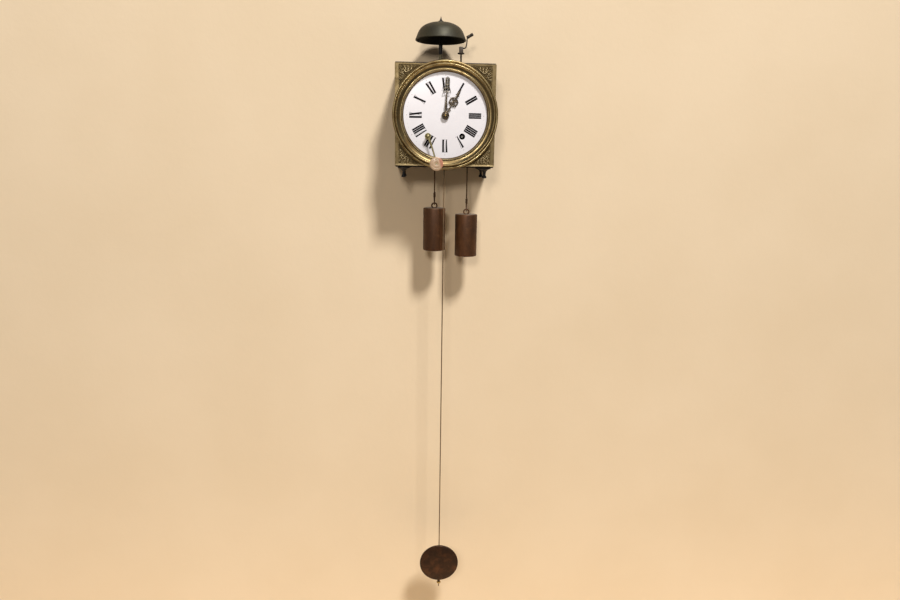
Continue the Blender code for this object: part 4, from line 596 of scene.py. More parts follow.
def ridge(p, q, curve, width, rise, veins=0.0):
    """Height of one leaf: a rounded ridge along a curve, rise * (1 - (distance / width)^2), with slanting veins."""
    line = softened(curve, 3)
    share = np.linspace(0, 1, len(line))
    widths = np.interp(share, np.linspace(0, 1, len(width)), width)
    away = np.hypot(p[:, None] - line[None, :, 0], q[:, None] - line[None, :, 1]) / widths[None]
    nearest = away.argmin(axis=1)
    close = np.take_along_axis(away, nearest[:, None], axis=1)[:, 0]
    height = rise * np.clip(1 - close**2, 0, 1) ** 0.7
    if veins:
        height = height * (1 - veins * (0.5 + 0.5 * np.cos(share[nearest] * 34 + close * 4.5)))
        height = height * (1 - 0.35 * np.exp(-((close / 0.22) ** 2)))
    return height


LEAF_WIDTH = 984.0  # The leaves are drawn 1.6 % narrower than in millimetres

# Curves of one corner's ornament, as millimetres out from the middle, each with its half width along the way
STEMS = [
    (
        [
            (101.5, 106.5), (97, 101.5), (89, 106.5), (81, 112), (74, 116.2), (70.0, 119.6), (66.2, 118.6),
            (66.6, 115.6), (69.4, 115.8),
        ],
        (2.0, 1.7, 1.5, 1.3, 1.2, 1.2, 1.2, 1.1, 1.0),
    ),
    (
        [
            (106.5, 101.5), (102.0, 96.5), (105.5, 90.5), (109.0, 86.5), (112.6, 84.6), (113.4, 88.0),
            (110.4, 89.6), (109.4, 87.8),
        ],
        (2.0, 1.7, 1.5, 1.3, 1.2, 1.2, 1.1, 0.9),
    ),
]
LEAVES = [
    ([(98.5, 103.5), (97.8, 109.0), (101.2, 115.8), (104.5, 117.6)], (1.2, 2.6, 2.2, 0.9)),
    ([(93.5, 104.5), (91.5, 109.5), (92.6, 115.0), (96.0, 118.6)], (1.2, 2.8, 2.4, 0.9)),
    ([(86.5, 108.5), (84.0, 112.5), (84.8, 117.0), (87.8, 119.4)], (1.0, 2.4, 2.1, 0.8)),
    ([(79.5, 113.0), (77.0, 116.2), (79.4, 119.4)], (1.0, 1.8, 0.9)),
    ([(109.0, 109.5), (112.6, 112.0), (113.0, 117.2)], (1.3, 2.2, 0.8)),
    ([(107.5, 111.5), (108.2, 116.0), (106.5, 119.6)], (1.3, 2.0, 0.8)),
    ([(103.5, 98.8), (108.0, 98.6), (112.8, 102.6)], (1.2, 2.4, 0.9)),
    ([(104.0, 93.8), (108.6, 93.6), (113.0, 96.6)], (1.2, 2.2, 0.9)),
    ([(108.5, 84.5), (110.2, 80.5), (113.0, 77.0)], (1.1, 1.7, 0.7)),
    ([(100.5, 99.5), (96.8, 98.2), (95.4, 99.6)], (1.5, 1.6, 0.8)),
    ([(68.8, 117.4), (69.2, 117.6)], (1.2, 1.2)),
]


def foliage(x, z):
    """Height, 0 to 1, of the scrolled leaves: p and q are the distances from the middle in millimetres, so that all
    four corners repeat one design of a rosette, two stems and their leaflets."""
    p, q = np.abs(x) * LEAF_WIDTH, np.abs(z) * 1000
    away = np.hypot(p - 105.3, q - 105.6)
    turn = np.arctan2(q - 105.6, p - 105.3)
    petals = (0.72 + 0.28 * np.cos(8 * turn)) * np.clip((5.9 - away) / 1.6, 0, 1) * np.clip((away - 1.5) / 1.1, 0, 1)
    height = petals * 0.95
    for curves, rise, veins in ((STEMS, 0.85, 0.0), (LEAVES, 1.0, 0.45)):
        for curve, width in curves:
            height = np.maximum(height, ridge(p, q, curve, width, rise, veins))
    return height


def bottom_bead(case):
    """The rolled lower edge of the stamped front, proud of its face and a little past both sides."""
    line = np.linspace(-case.half_width - 0.0006, case.half_width + 0.0006, 60)
    path = np.stack([line, np.full(60, case.face - 0.0002), np.full(60, -case.half_height + 0.0011)], axis=1)
    return swept(path, 0.0011, 0.0017, sides=20, power=2.6)


def stamped_front(case, clear):
    """A pressed sheet on a polar grid: the columns are bearings, crowded into the corners, and each row runs from the
    round hole to the square outline. The skin goes over the face, round the hem and back inside."""
    wide, tall, face = case.half_width, case.half_height, case.face
    corner, crowd = math.atan2(tall, wide), 0.345
    near = np.concatenate([np.linspace(-crowd, -0.002, 92), [0.0], np.linspace(0.002, crowd, 92)])
    top = np.linspace(corner + crowd, math.pi - corner - crowd, 34)[1:-1]
    side = np.linspace(math.pi - corner + crowd, math.pi + corner - crowd, 30)[1:-1]
    first = np.concatenate([corner + near, top, math.pi - corner + near, side])
    angle = np.concatenate([first, first + math.pi])
    c, s = np.cos(angle), np.sin(angle)
    points, relief, margin = [], [], []

    def square(inset):
        """Outline of the square, drawn in by an inset, as points on each bearing."""
        reach = np.minimum((wide - inset) / np.maximum(np.abs(c), 1e-9), (tall - inset) / np.maximum(np.abs(s), 1e-9))
        return np.stack([reach * c, reach * s], axis=1)

    def add_row(place, depth, raised, plain):
        points.append(upright(place, depth))
        relief.append(np.broadcast_to(raised, len(angle)))
        margin.append(np.broadcast_to(plain, len(angle)))

    hole = np.stack([0.076 * c, 0.076 * s], axis=1)
    lip = square(0.0012)
    start = np.minimum(clear - 0.0025, np.linalg.norm(lip, axis=1) - 0.012)
    under_bezel = np.stack([start * c, start * s], axis=1)
    for place, back in ((hole, 0.0010), (hole, 0.0001), (hole + (under_bezel - hole) * 0.5, 0)):
        add_row(place, face + back, 0.0, 0.0)
    inset_x, inset_z = wide - case.margin - 0.0015, tall - 0.0046
    for share in np.linspace(0, 1, 84):
        place = under_bezel + (lip - under_bezel) * share
        x, z = place[:, 0], place[:, 1]
        out = np.maximum(np.abs(x) - inset_x, np.abs(z) - inset_z)
        rim = np.clip(out / 0.0011 + 0.5, 0, 1)
        rim = rim * rim * (3 - 2 * rim)
        away = np.hypot(x, z)
        leaf = foliage(x, z) * np.clip((away - clear - 0.0042) / 0.0012, 0, 1) * (1 - rim)
        ring = 0.45 * np.exp(-(((away - clear - 0.0026) / 0.00055) ** 2))
        foot = np.clip((-z - (tall - 0.0040)) / 0.0009, 0, 1)
        height = np.maximum(leaf, ring * (1 - rim))
        level = 0.0004 * rim + 0.0004 * foot * rim - 0.0003 * (1 - rim) + height * case.relief * (1 - 0.5 * rim)
        level = np.where(away < clear + 0.0008, np.minimum(level, 0.0009), level)
        add_row(place, face - level, height, np.maximum(rim, np.clip((clear + 0.0008 - away) / 0.0005, 0, 1)))
    for inset, back in mm((0.4, -0.4), (0, 0.4), (0, 1.2), (0, 7.9), (1.0, 7.9), (1.0, 1.6), (1.6, 1.0)):
        add_row(square(inset), face + back, 0.3, 1.0)
    return shell(np.stack(points), wrap_rows=True), np.concatenate(relief), np.concatenate(margin)


class CLOCK_OT_front(bpy.types.Operator):
    """Stamped brass front with scrolled leaves in its corners"""

    bl_idname = "clock.front"
    bl_label = "Stamped front"

    def execute(self, context):
        case = context.scene.clock_case
        skin, relief, margin = stamped_front(case, context.scene.clock_dial.bezel_radius)
        brass = stamped_brass(context.scene.clock_finish)
        bead = bottom_bead(case)
        relief = np.append(relief, np.full(len(bead[0]), 0.8))
        margin = np.append(margin, np.zeros(len(bead[0])))
        made(
            "pressed_front", [skin, bead], brass, "case", "front_plate", "stamped_brass", 60,
            relief=relief, margin=margin,
        )
        return {"FINISHED"}


# Bezel and dial


# Share of the bezel's width outwards from the opening, and share of its depth forward
BEZEL_SHARES = [
    (0.965, 0.02), (0.992, 0.05), (1.000, 0.13), (1.000, 0.26), (0.985, 0.41), (0.955, 0.51), (0.905, 0.56),
    (0.862, 0.56), (0.825, 0.54), (0.800, 0.48), (0.778, 0.44), (0.756, 0.47), (0.738, 0.62), (0.716, 0.80),
    (0.682, 0.94), (0.642, 1.00), (0.605, 0.99), (0.570, 0.93), (0.530, 0.86), (0.470, 0.765), (0.395, 0.70),
    (0.320, 0.66), (0.255, 0.645), (0.217, 0.655), (0.198, 0.70), (0.174, 0.765), (0.150, 0.77), (0.130, 0.72),
    (0.115, 0.64), (0.080, 0.54), (0.045, 0.45), (0.012, 0.39), (0.000, 0.30), (0.000, 0.12),
]


class CLOCK_OT_bezel(bpy.types.Operator):
    """Round spun bezel: a rolled outer band, a bright ridge, a wide hollow and an inner bead"""

    bl_idname = "clock.bezel"
    bl_label = "Bezel"

    def execute(self, context):
        dial = context.scene.clock_dial
        wide, deep, rear, sides = dial.bezel_radius - dial.opening, 0.0145, -0.1515, 288
        section = softened(np.array(BEZEL_SHARES) * (wide, -deep) + (dial.opening, rear), 2)
        line = np.concatenate([section, mm((107.6, -153.2), (107.6, -151.6))])
        share = (line[:, 0] - dial.opening) / wide
        # Per-point darkening: brown patina in the wide hollow, and painted shade in the narrow groove and along the
        # inner edge against the dial.
        tarnish = 0.55 * np.exp(-(((share - 0.36) / 0.12) ** 2)) + np.exp(-(((share - 0.775) / 0.014) ** 2))
        tarnish = np.clip(tarnish + np.exp(-((share / 0.085) ** 2)), 0, 1)
        ring = turned(line, "Y", sides=sides, closed=True)
        brass = bezel_brass(context.scene.clock_finish)
        made("spun_bezel", [ring], brass, "case", "bezel", "bezel_brass", 50, tarnish=np.repeat(tarnish, sides))
        return {"FINISHED"}


def dome(dial, radius):
    """Depth of the enamel's face at a radius: the rim's depth plus the rise times 1 - (radius / rim)^2."""
    return dial.dial_rear - dial.dial_thickness - dial.dial_rise * (1 - (radius / dial.dial_radius) ** 2)


def patch(dial, corners, lift=0.00016, along=10, across=4):
    """A thin painted shape on the dome: rows run between two opposite sides, and each row is a closed loop whose top
    stands a little above the enamel and whose underside lies a little below it."""
    a, b, c, d = np.asarray(corners, float)
    t = np.linspace(0, 1, along)[:, None, None]
    s = np.linspace(0, 1, across)[None, :, None]
    flat = (a * (1 - s) + b * s) * (1 - t) + (d * (1 - s) + c * s) * t
    depth = dome(dial, np.hypot(flat[..., 0], flat[..., 1]))
    top = np.stack([flat[..., 0], depth - lift, flat[..., 1]], axis=-1)
    under = np.stack([flat[..., 0], depth + 0.00006, flat[..., 1]], axis=-1)
    return shell(np.concatenate([top, under[:, ::-1]], axis=1))


def placed_round(corners, angle):
    """Corner points given as across and outwards, carried to an angle clockwise from the top."""
    c, s = math.cos(angle), math.sin(angle)
    return [(across * c + out * s, -across * s + out * c) for across, out in corners]


NUMERALS = ("XII", "I", "II", "III", "IIII", "V", "VI", "VII", "VIII", "IX", "X", "XI")
CROWDED = ("III", "IIII", "VIII")  # Numerals with narrower bars


def numeral_strokes(letters, low, high):
    """Strokes of a Roman numeral as four-cornered shapes across and outwards: broad bars close together, V and X with
    one broad and one hairline stroke, and a hairline serif at both ends."""
    bar, gap = (0.0040, 0.0008) if letters in CROWDED else (0.0047, 0.0009)
    hair, serif = 0.0006, 0.00045
    widths = {"I": bar, "V": 0.0081, "X": 0.0090}
    total = sum(widths[letter] for letter in letters) + gap * (len(letters) - 1)
    inner, outer = low + serif / 2, high - serif / 2
    strokes = []

    def stroke(foot, foot_wide, head, head_wide):
        strokes.append([(foot, inner), (foot + foot_wide, inner), (head + head_wide, outer), (head, outer)])

    at = -total / 2
    for letter in letters:
        if letter == "I":
            stroke(at, bar, at, bar)
        elif letter == "V":
            stroke(at + 0.0020, 0.0020, at, bar)
            stroke(at + 0.0034, hair, at + 0.0081 - hair, hair)
        else:
            stroke(at + 0.0045, bar, at + 0.0006, bar)
            stroke(at + 0.0004, hair, at + 0.0086 - hair, hair)
        at += widths[letter] + gap
    end = total / 2
    for level in (low, high - serif):
        strokes.append([(-end, level), (end, level), (end, level + serif), (-end, level + serif)])
    return strokes


def enamel_sheet(dial, winding):
    """The dial: rings of points on a dome, joined by triangles, with the three round holes left open."""
    holes = [((0.0, 0.0), 0.006), (winding[0], 0.0075), (winding[1], 0.0075)]
    edged = [loop_of(centre, radius, 64) for centre, radius in holes] + [loop_of((0, 0), dial.dial_radius, 192)]
    around = [loop_of(centre, radius + 0.0012, steps) for (centre, radius), steps in zip(holes, (40, 48, 48))]
    fill = np.linspace(0.010, dial.dial_radius - 0.002, 26)
    inside = np.concatenate([loop_of((0, 0), radius, max(24, int(radius * 1500)) - 1) for radius in fill])
    for centre, radius in holes:
        inside = inside[np.hypot(*(inside - centre).T) > radius + 0.0024]
    edges, base = [], 0
    for loop in edged:
        edges += [(index + base, (index + 1) % len(loop) + base) for index in range(len(loop))]
        base += len(loop)
    flat = np.concatenate([*edged, *around, inside])
    found, _, faces, _, _, _ = delaunay_2d_cdt([Vector(point) for point in flat.tolist()], edges, [], 1, 1e-7)
    flat, faces = np.array([tuple(point) for point in found]), np.array([tuple(face) for face in faces])
    middle = flat[faces].mean(axis=1)
    keep = np.ones(len(faces), bool)
    for centre, radius in holes:
        keep &= np.hypot(*(middle - centre).T) > radius * 0.999
    faces = faces[keep]
    front = upright(flat, dome(dial, np.hypot(flat[:, 0], flat[:, 1])))
    sides = np.concatenate([faces[:, [0, 1]], faces[:, [1, 2]], faces[:, [2, 0]]])
    both = {tuple(pair) for pair in sides.tolist()}
    rim = np.array([pair for pair in both if (pair[1], pair[0]) not in both])
    count = len(flat)
    wall = np.stack([rim[:, 1], rim[:, 0], rim[:, 0] + count, rim[:, 1] + count], axis=1)
    all_faces = faces.tolist() + (faces[:, ::-1] + count).tolist() + wall.tolist()
    return np.concatenate([front, front + (0, dial.dial_thickness, 0)]), all_faces


class CLOCK_OT_dial(bpy.types.Operator):
    """Domed enamel dial with Roman numerals and worn marks"""

    bl_idname = "clock.dial"
    bl_label = "Dial"

    def execute(self, context):
        dial, finish = context.scene.clock_dial, context.scene.clock_finish
        winding = [span_of(name)[2][::2] for name in ("going_winding_arbor", "strike_winding_arbor")]
        made("enamel_dial", [enamel_sheet(dial, winding)], white_enamel(finish), "case", "dial", "white_enamel", 30)
        strokes = []
        for hour, letters in enumerate(NUMERALS):
            for corners in numeral_strokes(letters, dial.numeral_inner, dial.numeral_outer):
                strokes.append(patch(dial, placed_round(corners, hour * TAU / 12)))
        made("painted_numerals", strokes, numeral_ink(finish), "case", slot="white_enamel")
        dot = mm((-0.42, 97.08), (0.42, 97.08), (0.42, 97.92), (-0.42, 97.92))
        lozenge = mm((0, 95.6), (1.1, 97.0), (0, 98.6), (-1.1, 97.0))
        marks = []
        for minute in range(60):
            corners = placed_round(dot if minute % 5 else lozenge, minute * TAU / 60)
            marks.append(patch(dial, corners, 0.00010, 3, 3))
        made("worn_marks", marks, faint_ink(), "case", slot="white_enamel")
        return {"FINISHED"}


# Hands


def hand_bar(line, half, y, closed=False):
    """An oval bar along a line given as across and outwards, with its half width, both in millimetres."""
    half = np.asarray(half, float) / 1000
    return swept(upright(mm(*line), y), half, 0.00058, sides=12, closed=closed, power=2.6)


def straight(*places):
    """Points along the hand's own axis."""
    return [(0, place) for place in places]


def pair_of(line):
    """A line and its mirror image across the hand's own axis."""
    line = np.asarray(line, float)
    return [line, line * (-1, 1)]


def hub(y_front, y_rear, radius, bore):
    """Round hub with a groove and a raised collar, turned about the arbor."""
    rings = [
        (bore, y_rear), (radius - 0.0004, y_rear), (radius, y_rear - 0.0004), (radius, y_front + 0.0005),
        (radius - 0.0005, y_front + 0.0001), (radius - 0.0016, y_front), (radius - 0.0020, y_front + 0.0004),
        (radius - 0.0028, y_front + 0.0004), (radius - 0.0032, y_front), (bore, y_front),
    ]
    return turned(rings, sides=72, closed=True)


def minute_shapes(y, tip):
    """The minute hand: a baluster shaft first, and then a long openwork of rings inside two curved sides."""
    shaft = straight(6, 9, 11, 13, 16, 20, 24, 27, 30, 33, 36, 45, 57.5)
    shapes = [hand_bar(shaft, [2.8, 2.6, 2.1, 2.0, 2.6, 3.2, 3.4, 3.0, 2.4, 2.0, 1.9, 1.8, 1.6], y)]
    side = [
        (0.6, 57.4), (4.5, 56.2), (8.0, 56.0), (8.7, 58.0), (7.8, 61.5), (6.2, 66.0), (4.6, 70.5), (4.3, 75.5),
        (4.7, 80.5), (4.8, 86.0), (3.4, 89.8), (1.4, 91.6), (0.2, 91.9),
    ]
    shapes += [hand_bar(line, 0.82, y) for line in pair_of(softened(side))]
    for place, radius in ((62.6, 3.5), (69.3, 2.7), (78.6, 2.9), (85.6, 2.9)):
        shapes.append(hand_bar(loop_of((0, place), radius, 32), 0.70, y, True))
    shapes.append(hand_bar([(-5.0, 74.0), (0, 73.4), (5.0, 74.0)], 0.9, y))
    for curl in ([(3.2, 63.4), (5.4, 64.2), (6.6, 63.0)], [(8.0, 56.2), (8.9, 55.2), (8.6, 54.2), (7.7, 54.4)]):
        shapes += [hand_bar(line, 0.65, y) for line in pair_of(softened(curl))]
    shapes.append(hand_bar(straight(90.5, 91.4, 92.2, tip), [0.9, 1.6, 1.3, 0.3], y))
    return shapes


def hour_shapes(y, tip):
    """The hour hand: two lobes, a pierced ring of scrolls with side points, a cross collar and a spear."""
    middle = 38.5
    shapes = [hand_bar(straight(6, 9, 12, 15, 18, 22, 27.5), [2.8, 2.4, 1.6, 1.7, 2.0, 1.6, 1.6], y)]
    shapes += [hand_bar(loop_of((side * 2.8, 16.3), 1.9, 24), 0.85, y, True) for side in (-1, 1)]
    shapes.append(hand_bar(loop_of((0, middle), 9.9, 56), 1.50, y, True))
    curl = softened([(0.4, 1.2), (3.2, 1.6), (5.9, 4.0), (5.2, 7.2), (2.6, 6.6), (2.4, 4.4), (4.0, 3.8)])
    for side in (-1, 1):
        for high in (-1, 1):
            shapes.append(hand_bar(curl * (side, high) + (0, middle), 1.05, y))
    shapes.append(hand_bar(straight(28.0, 33.5, 38.5, 43.5, 49.2), [1.5, 0.9, 1.7, 0.9, 1.5], y))
    points = (
        ([(8.4, 32.9), (10.0, 31.6), (11.3, 30.2)], [1.6, 1.1, 0.3]),
        ([(9.6, 42.5), (11.0, 43.2), (12.2, 43.6)], [1.4, 0.9, 0.3]),
    )
    for point, girth in points:
        shapes += [hand_bar(line, girth, y) for line in pair_of(point)]
    shapes.append(hand_bar(straight(48.6, 50.5, 52.5, 54.5, 56.0), [2.2, 1.7, 2.5, 1.7, 2.2], y))
    collar = [(-5.4, 56.4), (-3.4, 57.3), (0, 57.6), (3.4, 57.3), (5.4, 56.4)]
    shapes.append(hand_bar(collar, [0.5, 1.3, 1.5, 1.3, 0.5], y))
    shapes.append(hand_bar(straight(56.5, 59.0, 61.5, 65.0, 70.0, tip), [1.7, 2.9, 3.0, 2.3, 1.3, 0.3], y))
    return shapes


class CLOCK_OT_hands(bpy.types.Operator):
    """Pierced minute and hour hands with round hubs"""

    bl_idname = "clock.hands"
    bl_label = "Hands"

    def execute(self, context):
        dial, finish = context.scene.clock_dial, context.scene.clock_finish
        bronze = set_metal(finish, "hand bronze")[0].material
        low, high, (_, y, _) = span_of("minute_hand")
        shaft, *openwork = leaned(minute_shapes(y, dial.minute_length * 1000), dial.minute_angle)
        made("minute_openwork", openwork, metal("minute gilt"), "minute", slot="dark_bronze")
        boss = hub(low.y, high.y, dial.hub_radius, 0.0037)
        rings = mm((2.4, 0.3), (5.6, 0.3), (5.8, -0.2), (5.0, -0.9), (3.6, -1.1), (2.4, -1.1)) + (0, low.y)
        collet = turned(rings, sides=48, closed=True)
        made("minute_shaft", [shaft, boss, collet], bronze, "minute", "minute_hand", "dark_bronze")
        low, high, (_, y, _) = span_of("hour_hand")
        shapes = leaned(hour_shapes(y, dial.hour_length * 1000), dial.hour_angle)
        boss = hub(low.y, high.y, dial.hub_radius, 0.0052)
        made("pierced_hour_hand", [*shapes, boss], bronze, "hour", "hour_hand", "dark_bronze")
        return {"FINISHED"}


class CLOCK_OT_key(bpy.types.Operator):
    """Winding key left on the going train's square: a socket with a round boss, a thin crank and a turned knob"""

    bl_idname = "clock.key"
    bl_label = "Winding key"

    def execute(self, context):
        x, _, z = span_of("going_winding_arbor")[2]
        socket = mm(
            (3.0, -155.2), (5.2, -155.2), (5.6, -155.6), (5.6, -166.2), (7.0, -166.4), (7.8, -166.9), (7.9, -167.9),
            (7.6, -168.5), (7.0, -168.7), (6.3, -168.5), (5.8, -167.7), (5.0, -167.5), (4.4, -168.0), (3.8, -169.2),
            (2.4, -169.9), (1.0, -170.1),
        )
        lean, far = math.radians(17.9), 0.0723
        reach = np.linspace(0, far, 24)
        bow = 0.0012 * np.sin(reach / far * math.pi)
        line = np.stack([x + reach * math.sin(lean) + bow, z - reach * math.cos(lean) + bow * 0.2], axis=1)
        half = 0.0020 + 0.0006 * np.exp(-(((reach - 0.012) / 0.014) ** 2))
        crank = swept(upright(line, -0.1678), half, 0.0010, sides=20, power=3.0)
        tip = (line[-1][0], 0, line[-1][1])
        pin = turned(mm((1.4, -167.6), (1.4, -170.3), (2.1, -170.4), (2.2, -170.6), (1.5, -170.85)), "Y", tip, 40)
        shells = [turned(socket, "Y", (x, 0, z - 0.0012), 64), crank, pin]
        made("crank_key", shells, metal("key brass"), "going_barrel", slot="wheel_brass")
        knob = mm(
            (2.0, -169.1), (10.0, -166.7), (15.0, -166.7), (16.6, -167.1), (17.3, -167.8), (17.2, -168.5),
            (16.2, -169.2), (14.2, -169.8), (12.0, -170.2), (11.1, -169.6), (10.4, -170.2), (7.6, -170.6),
            (4.6, -170.5), (3.6, -169.7), (2.6, -169.7),
        )
        rounded = np.concatenate([softened(knob), mm((1.5, -169.7), (1.5, -169.1))])
        skin = turned(rounded, "Y", tip, closed=True)
        across, up = skin[0][:, 0] - tip[0], skin[0][:, 2] - tip[2]
        salmon = np.clip((across * 0.95 + up * 0.3 - 0.0068) / 0.0035, 0, 1)
        glaze = glazed_knob(context.scene.clock_finish)
        made("turned_knob", [skin], glaze, "going_barrel", slot="white_enamel", salmon=salmon)
        return {"FINISHED"}


# Bell and hammer


class CLOCK_OT_bell(bpy.types.Operator):
    """Bell on its turned post, with the nut and spike on top"""

    bl_idname = "clock.bell"
    bl_label = "Bell"

    def execute(self, context):
        drive, finish = context.scene.clock_drive, context.scene.clock_finish
        low, high, (x, y, _) = span_of("bell_nut")
        at = (x, y, 0)
        wide, rim, crown = drive.bell_radius, drive.bell_rim, drive.bell_top
        outline = [
            (1.0, 0.05), (0.985, 0.10), (0.962, 0.18), (0.925, 0.31), (0.870, 0.50), (0.775, 0.69), (0.62, 0.84),
            (0.42, 0.945), (0.24, 0.985), (0.15, 0.998),
        ]
        outer = softened(outline, 3) * (wide, crown - rim) + (0, rim)
        lip = mm((-2.6, 0.4), (-1.2, 0), (-0.2, 0.7), (0, 1.8)) + (wide, rim)
        top = mm((2.9, 0), (2.9, -2.2)) + (0, crown)
        inner = outer[::-1] * (0.963, 1.0) - (0.0, 0.0021)
        inner = inner[inner[:, 1] > rim + 0.001]
        bell = turned(np.concatenate([lip, outer, top, inner]), "Z", at, 160, closed=True)
        shell_metal = set_metal(finish, "bell metal")[0].material
        made("bell_shell", [bell], shell_metal, "case", "bell", "bell_metal", 45)
        iron = black_iron(finish, "bell post iron")
        foot = mm(
            (4.8, 121.0), (5.2, 121.4), (5.2, 125.2), (3.2, 125.2), (3.2, 128.8), (7.5, 128.8), (7.8, 129.2),
            (7.6, 131.0), (6.2, 132.2), (4.9, 133.2), (4.5, 134.5), (3.8, 135.0),
        )
        stem = mm((3.6, 133.0), (4.2, 134.2), (4.2, 156.0), (3.6, 156.8))
        swell = mm(
            (3.0, 156.0), (3.9, 156.6), (4.3, 158.4), (4.8, 161.2), (5.0, 165.5), (5.0, 176.0), (4.8, 181.0),
            (4.3, 184.5), (3.6, 187.2), (3.3, 190.0), (3.1, 224.0), (3.8, 226.8), (5.0, 228.5), (5.1, 231.8),
            (2.6, 232.3), (2.6, 238.5), (2.0, 239.4),
        )
        nut = mm(
            (3.0, 3.6), (3.0, 0), (8.0, 0), (8.4, 0.5), (8.3, 1.5), (7.0, 2.4), (5.0, 3.2), (3.8, 4.4), (2.6, 6.2),
            (1.7, 8.6),
        )
        spike = mm((1.2, -2.0), (0.8, 0.6), (0.3, 1.2))
        finial = np.concatenate([nut + (0, low.z), spike + (0, high.z)])
        for name, profile, material, node, slot, smooth in (
            ("post_foot", foot, iron, None, "iron", 40),
            ("post_stem", stem, worn_iron("worn post iron", (0.20, 0.175, 0.105)), None, "steel", 40),
            ("turned_post", swell, iron, "bell_post", "iron", 35),
            ("bell_spike", finial, iron, "bell_nut", "iron", 35),
        ):
            made(name, [turned(profile, "Z", at, 48)], material, "case", node, slot, smooth)
        return {"FINISHED"}


class CLOCK_OT_hammer(bpy.types.Operator):
    """Hammer: upright arbor with its tail, square block, bent arm and round head"""

    bl_idname = "clock.hammer"
    bl_label = "Hammer"

    def execute(self, context):
        iron = worn_iron("hammer iron", (0.040, 0.027, 0.017))
        x, y = 0.040, -0.104
        stem = mm(
            (1.2, 7.8), (1.2, 11.8), (2.2, 11.8), (2.2, 154.5), (3.4, 154.8), (8.0, 154.9), (8.5, 155.4),
            (8.5, 157.2), (7.9, 157.8), (6.0, 158.0),
        )
        block = mm((4.2, 157.6), (5.0, 158.2), (5.0, 171.2), (4.5, 172.0))
        shapes = [turned(stem, "Z", (x, y, 0), 40), turned(block, "Z", (x, y, 0), 48, squareness=7)]
        original = frame["nodes"]["hammer_stem"].data
        points = np.empty(len(original.vertices) * 3)
        original.vertices.foreach_get("co", points)
        points = points.reshape(-1, 3)
        tail = points[(points[:, 2] < 0.0195) & (points[:, 1] > y + 0.006)]
        far = tail[tail[:, 1] > tail[:, 1].max() - 0.003].mean(axis=0)
        tail_end = (far[0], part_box("hammer_stem")[1].y - 0.0012, 0.0176)
        line = np.linspace((x, y, 0.0176), tail_end, 12)
        shapes.append(swept(line, np.linspace(0.0022, 0.0017, 12), 0.0014, side=(0, 0, 1), sides=16, power=4))
        made("hammer_arbor", shapes, iron, "hammer", "hammer_stem", "iron", 35)
        bend = mm(
            (44.8, -104.0, 169.0), (46.8, -104.0, 168.8), (49.6, -103.0, 169.4), (52.0, -99.8, 171.6),
            (53.4, -96.0, 175.6), (54.4, -92.5, 180.2), (55.2, -88.5, 185.0), (55.8, -85.2, 189.5),
            (56.1, -82.6, 193.5), (57.0, -80.6, 198.4),
        )
        arm = swept(softened(bend, 3), 0.0016, side=(1, 1, 0), sides=20)
        made("bent_arm", [arm], iron, "hammer", "hammer_arm", "iron")
        head = mm(
            (3.0, -9.0), (3.7, -8.8), (4.0, -8.3), (4.0, -3.0), (3.7, -2.4), (3.7, 2.4), (4.0, 3.0), (4.0, 8.3),
            (3.7, 8.8), (2.8, 9.0),
        )
        [(points, faces)] = leaned([turned(head, "X", sides=48)], math.radians(-31))
        knob = (points + (0.0634, -0.080, 0.2030), faces)
        made("hammer_knob", [knob], iron, "hammer", "hammer_head", "iron", 35)
        return {"FINISHED"}


# Pendulum, weights and cords


def bob_lens(wide, deep):
    """Radius and place along Y of the bob: two shallow domes with a flat seam round the edge."""
    turn = np.linspace(0.02, 1, 26)
    face = np.stack([wide * 0.962 * turn, deep * (1 - 0.58 * turn**3.2)], axis=1)
    seam = np.array([(0.972, 0.40), (0.985, 0.37), (0.996, 0.26), (1, 0.10)]) * (wide, deep)
    half = np.concatenate([face, seam])
    return np.concatenate([half * (1, -1), half[::-1]])


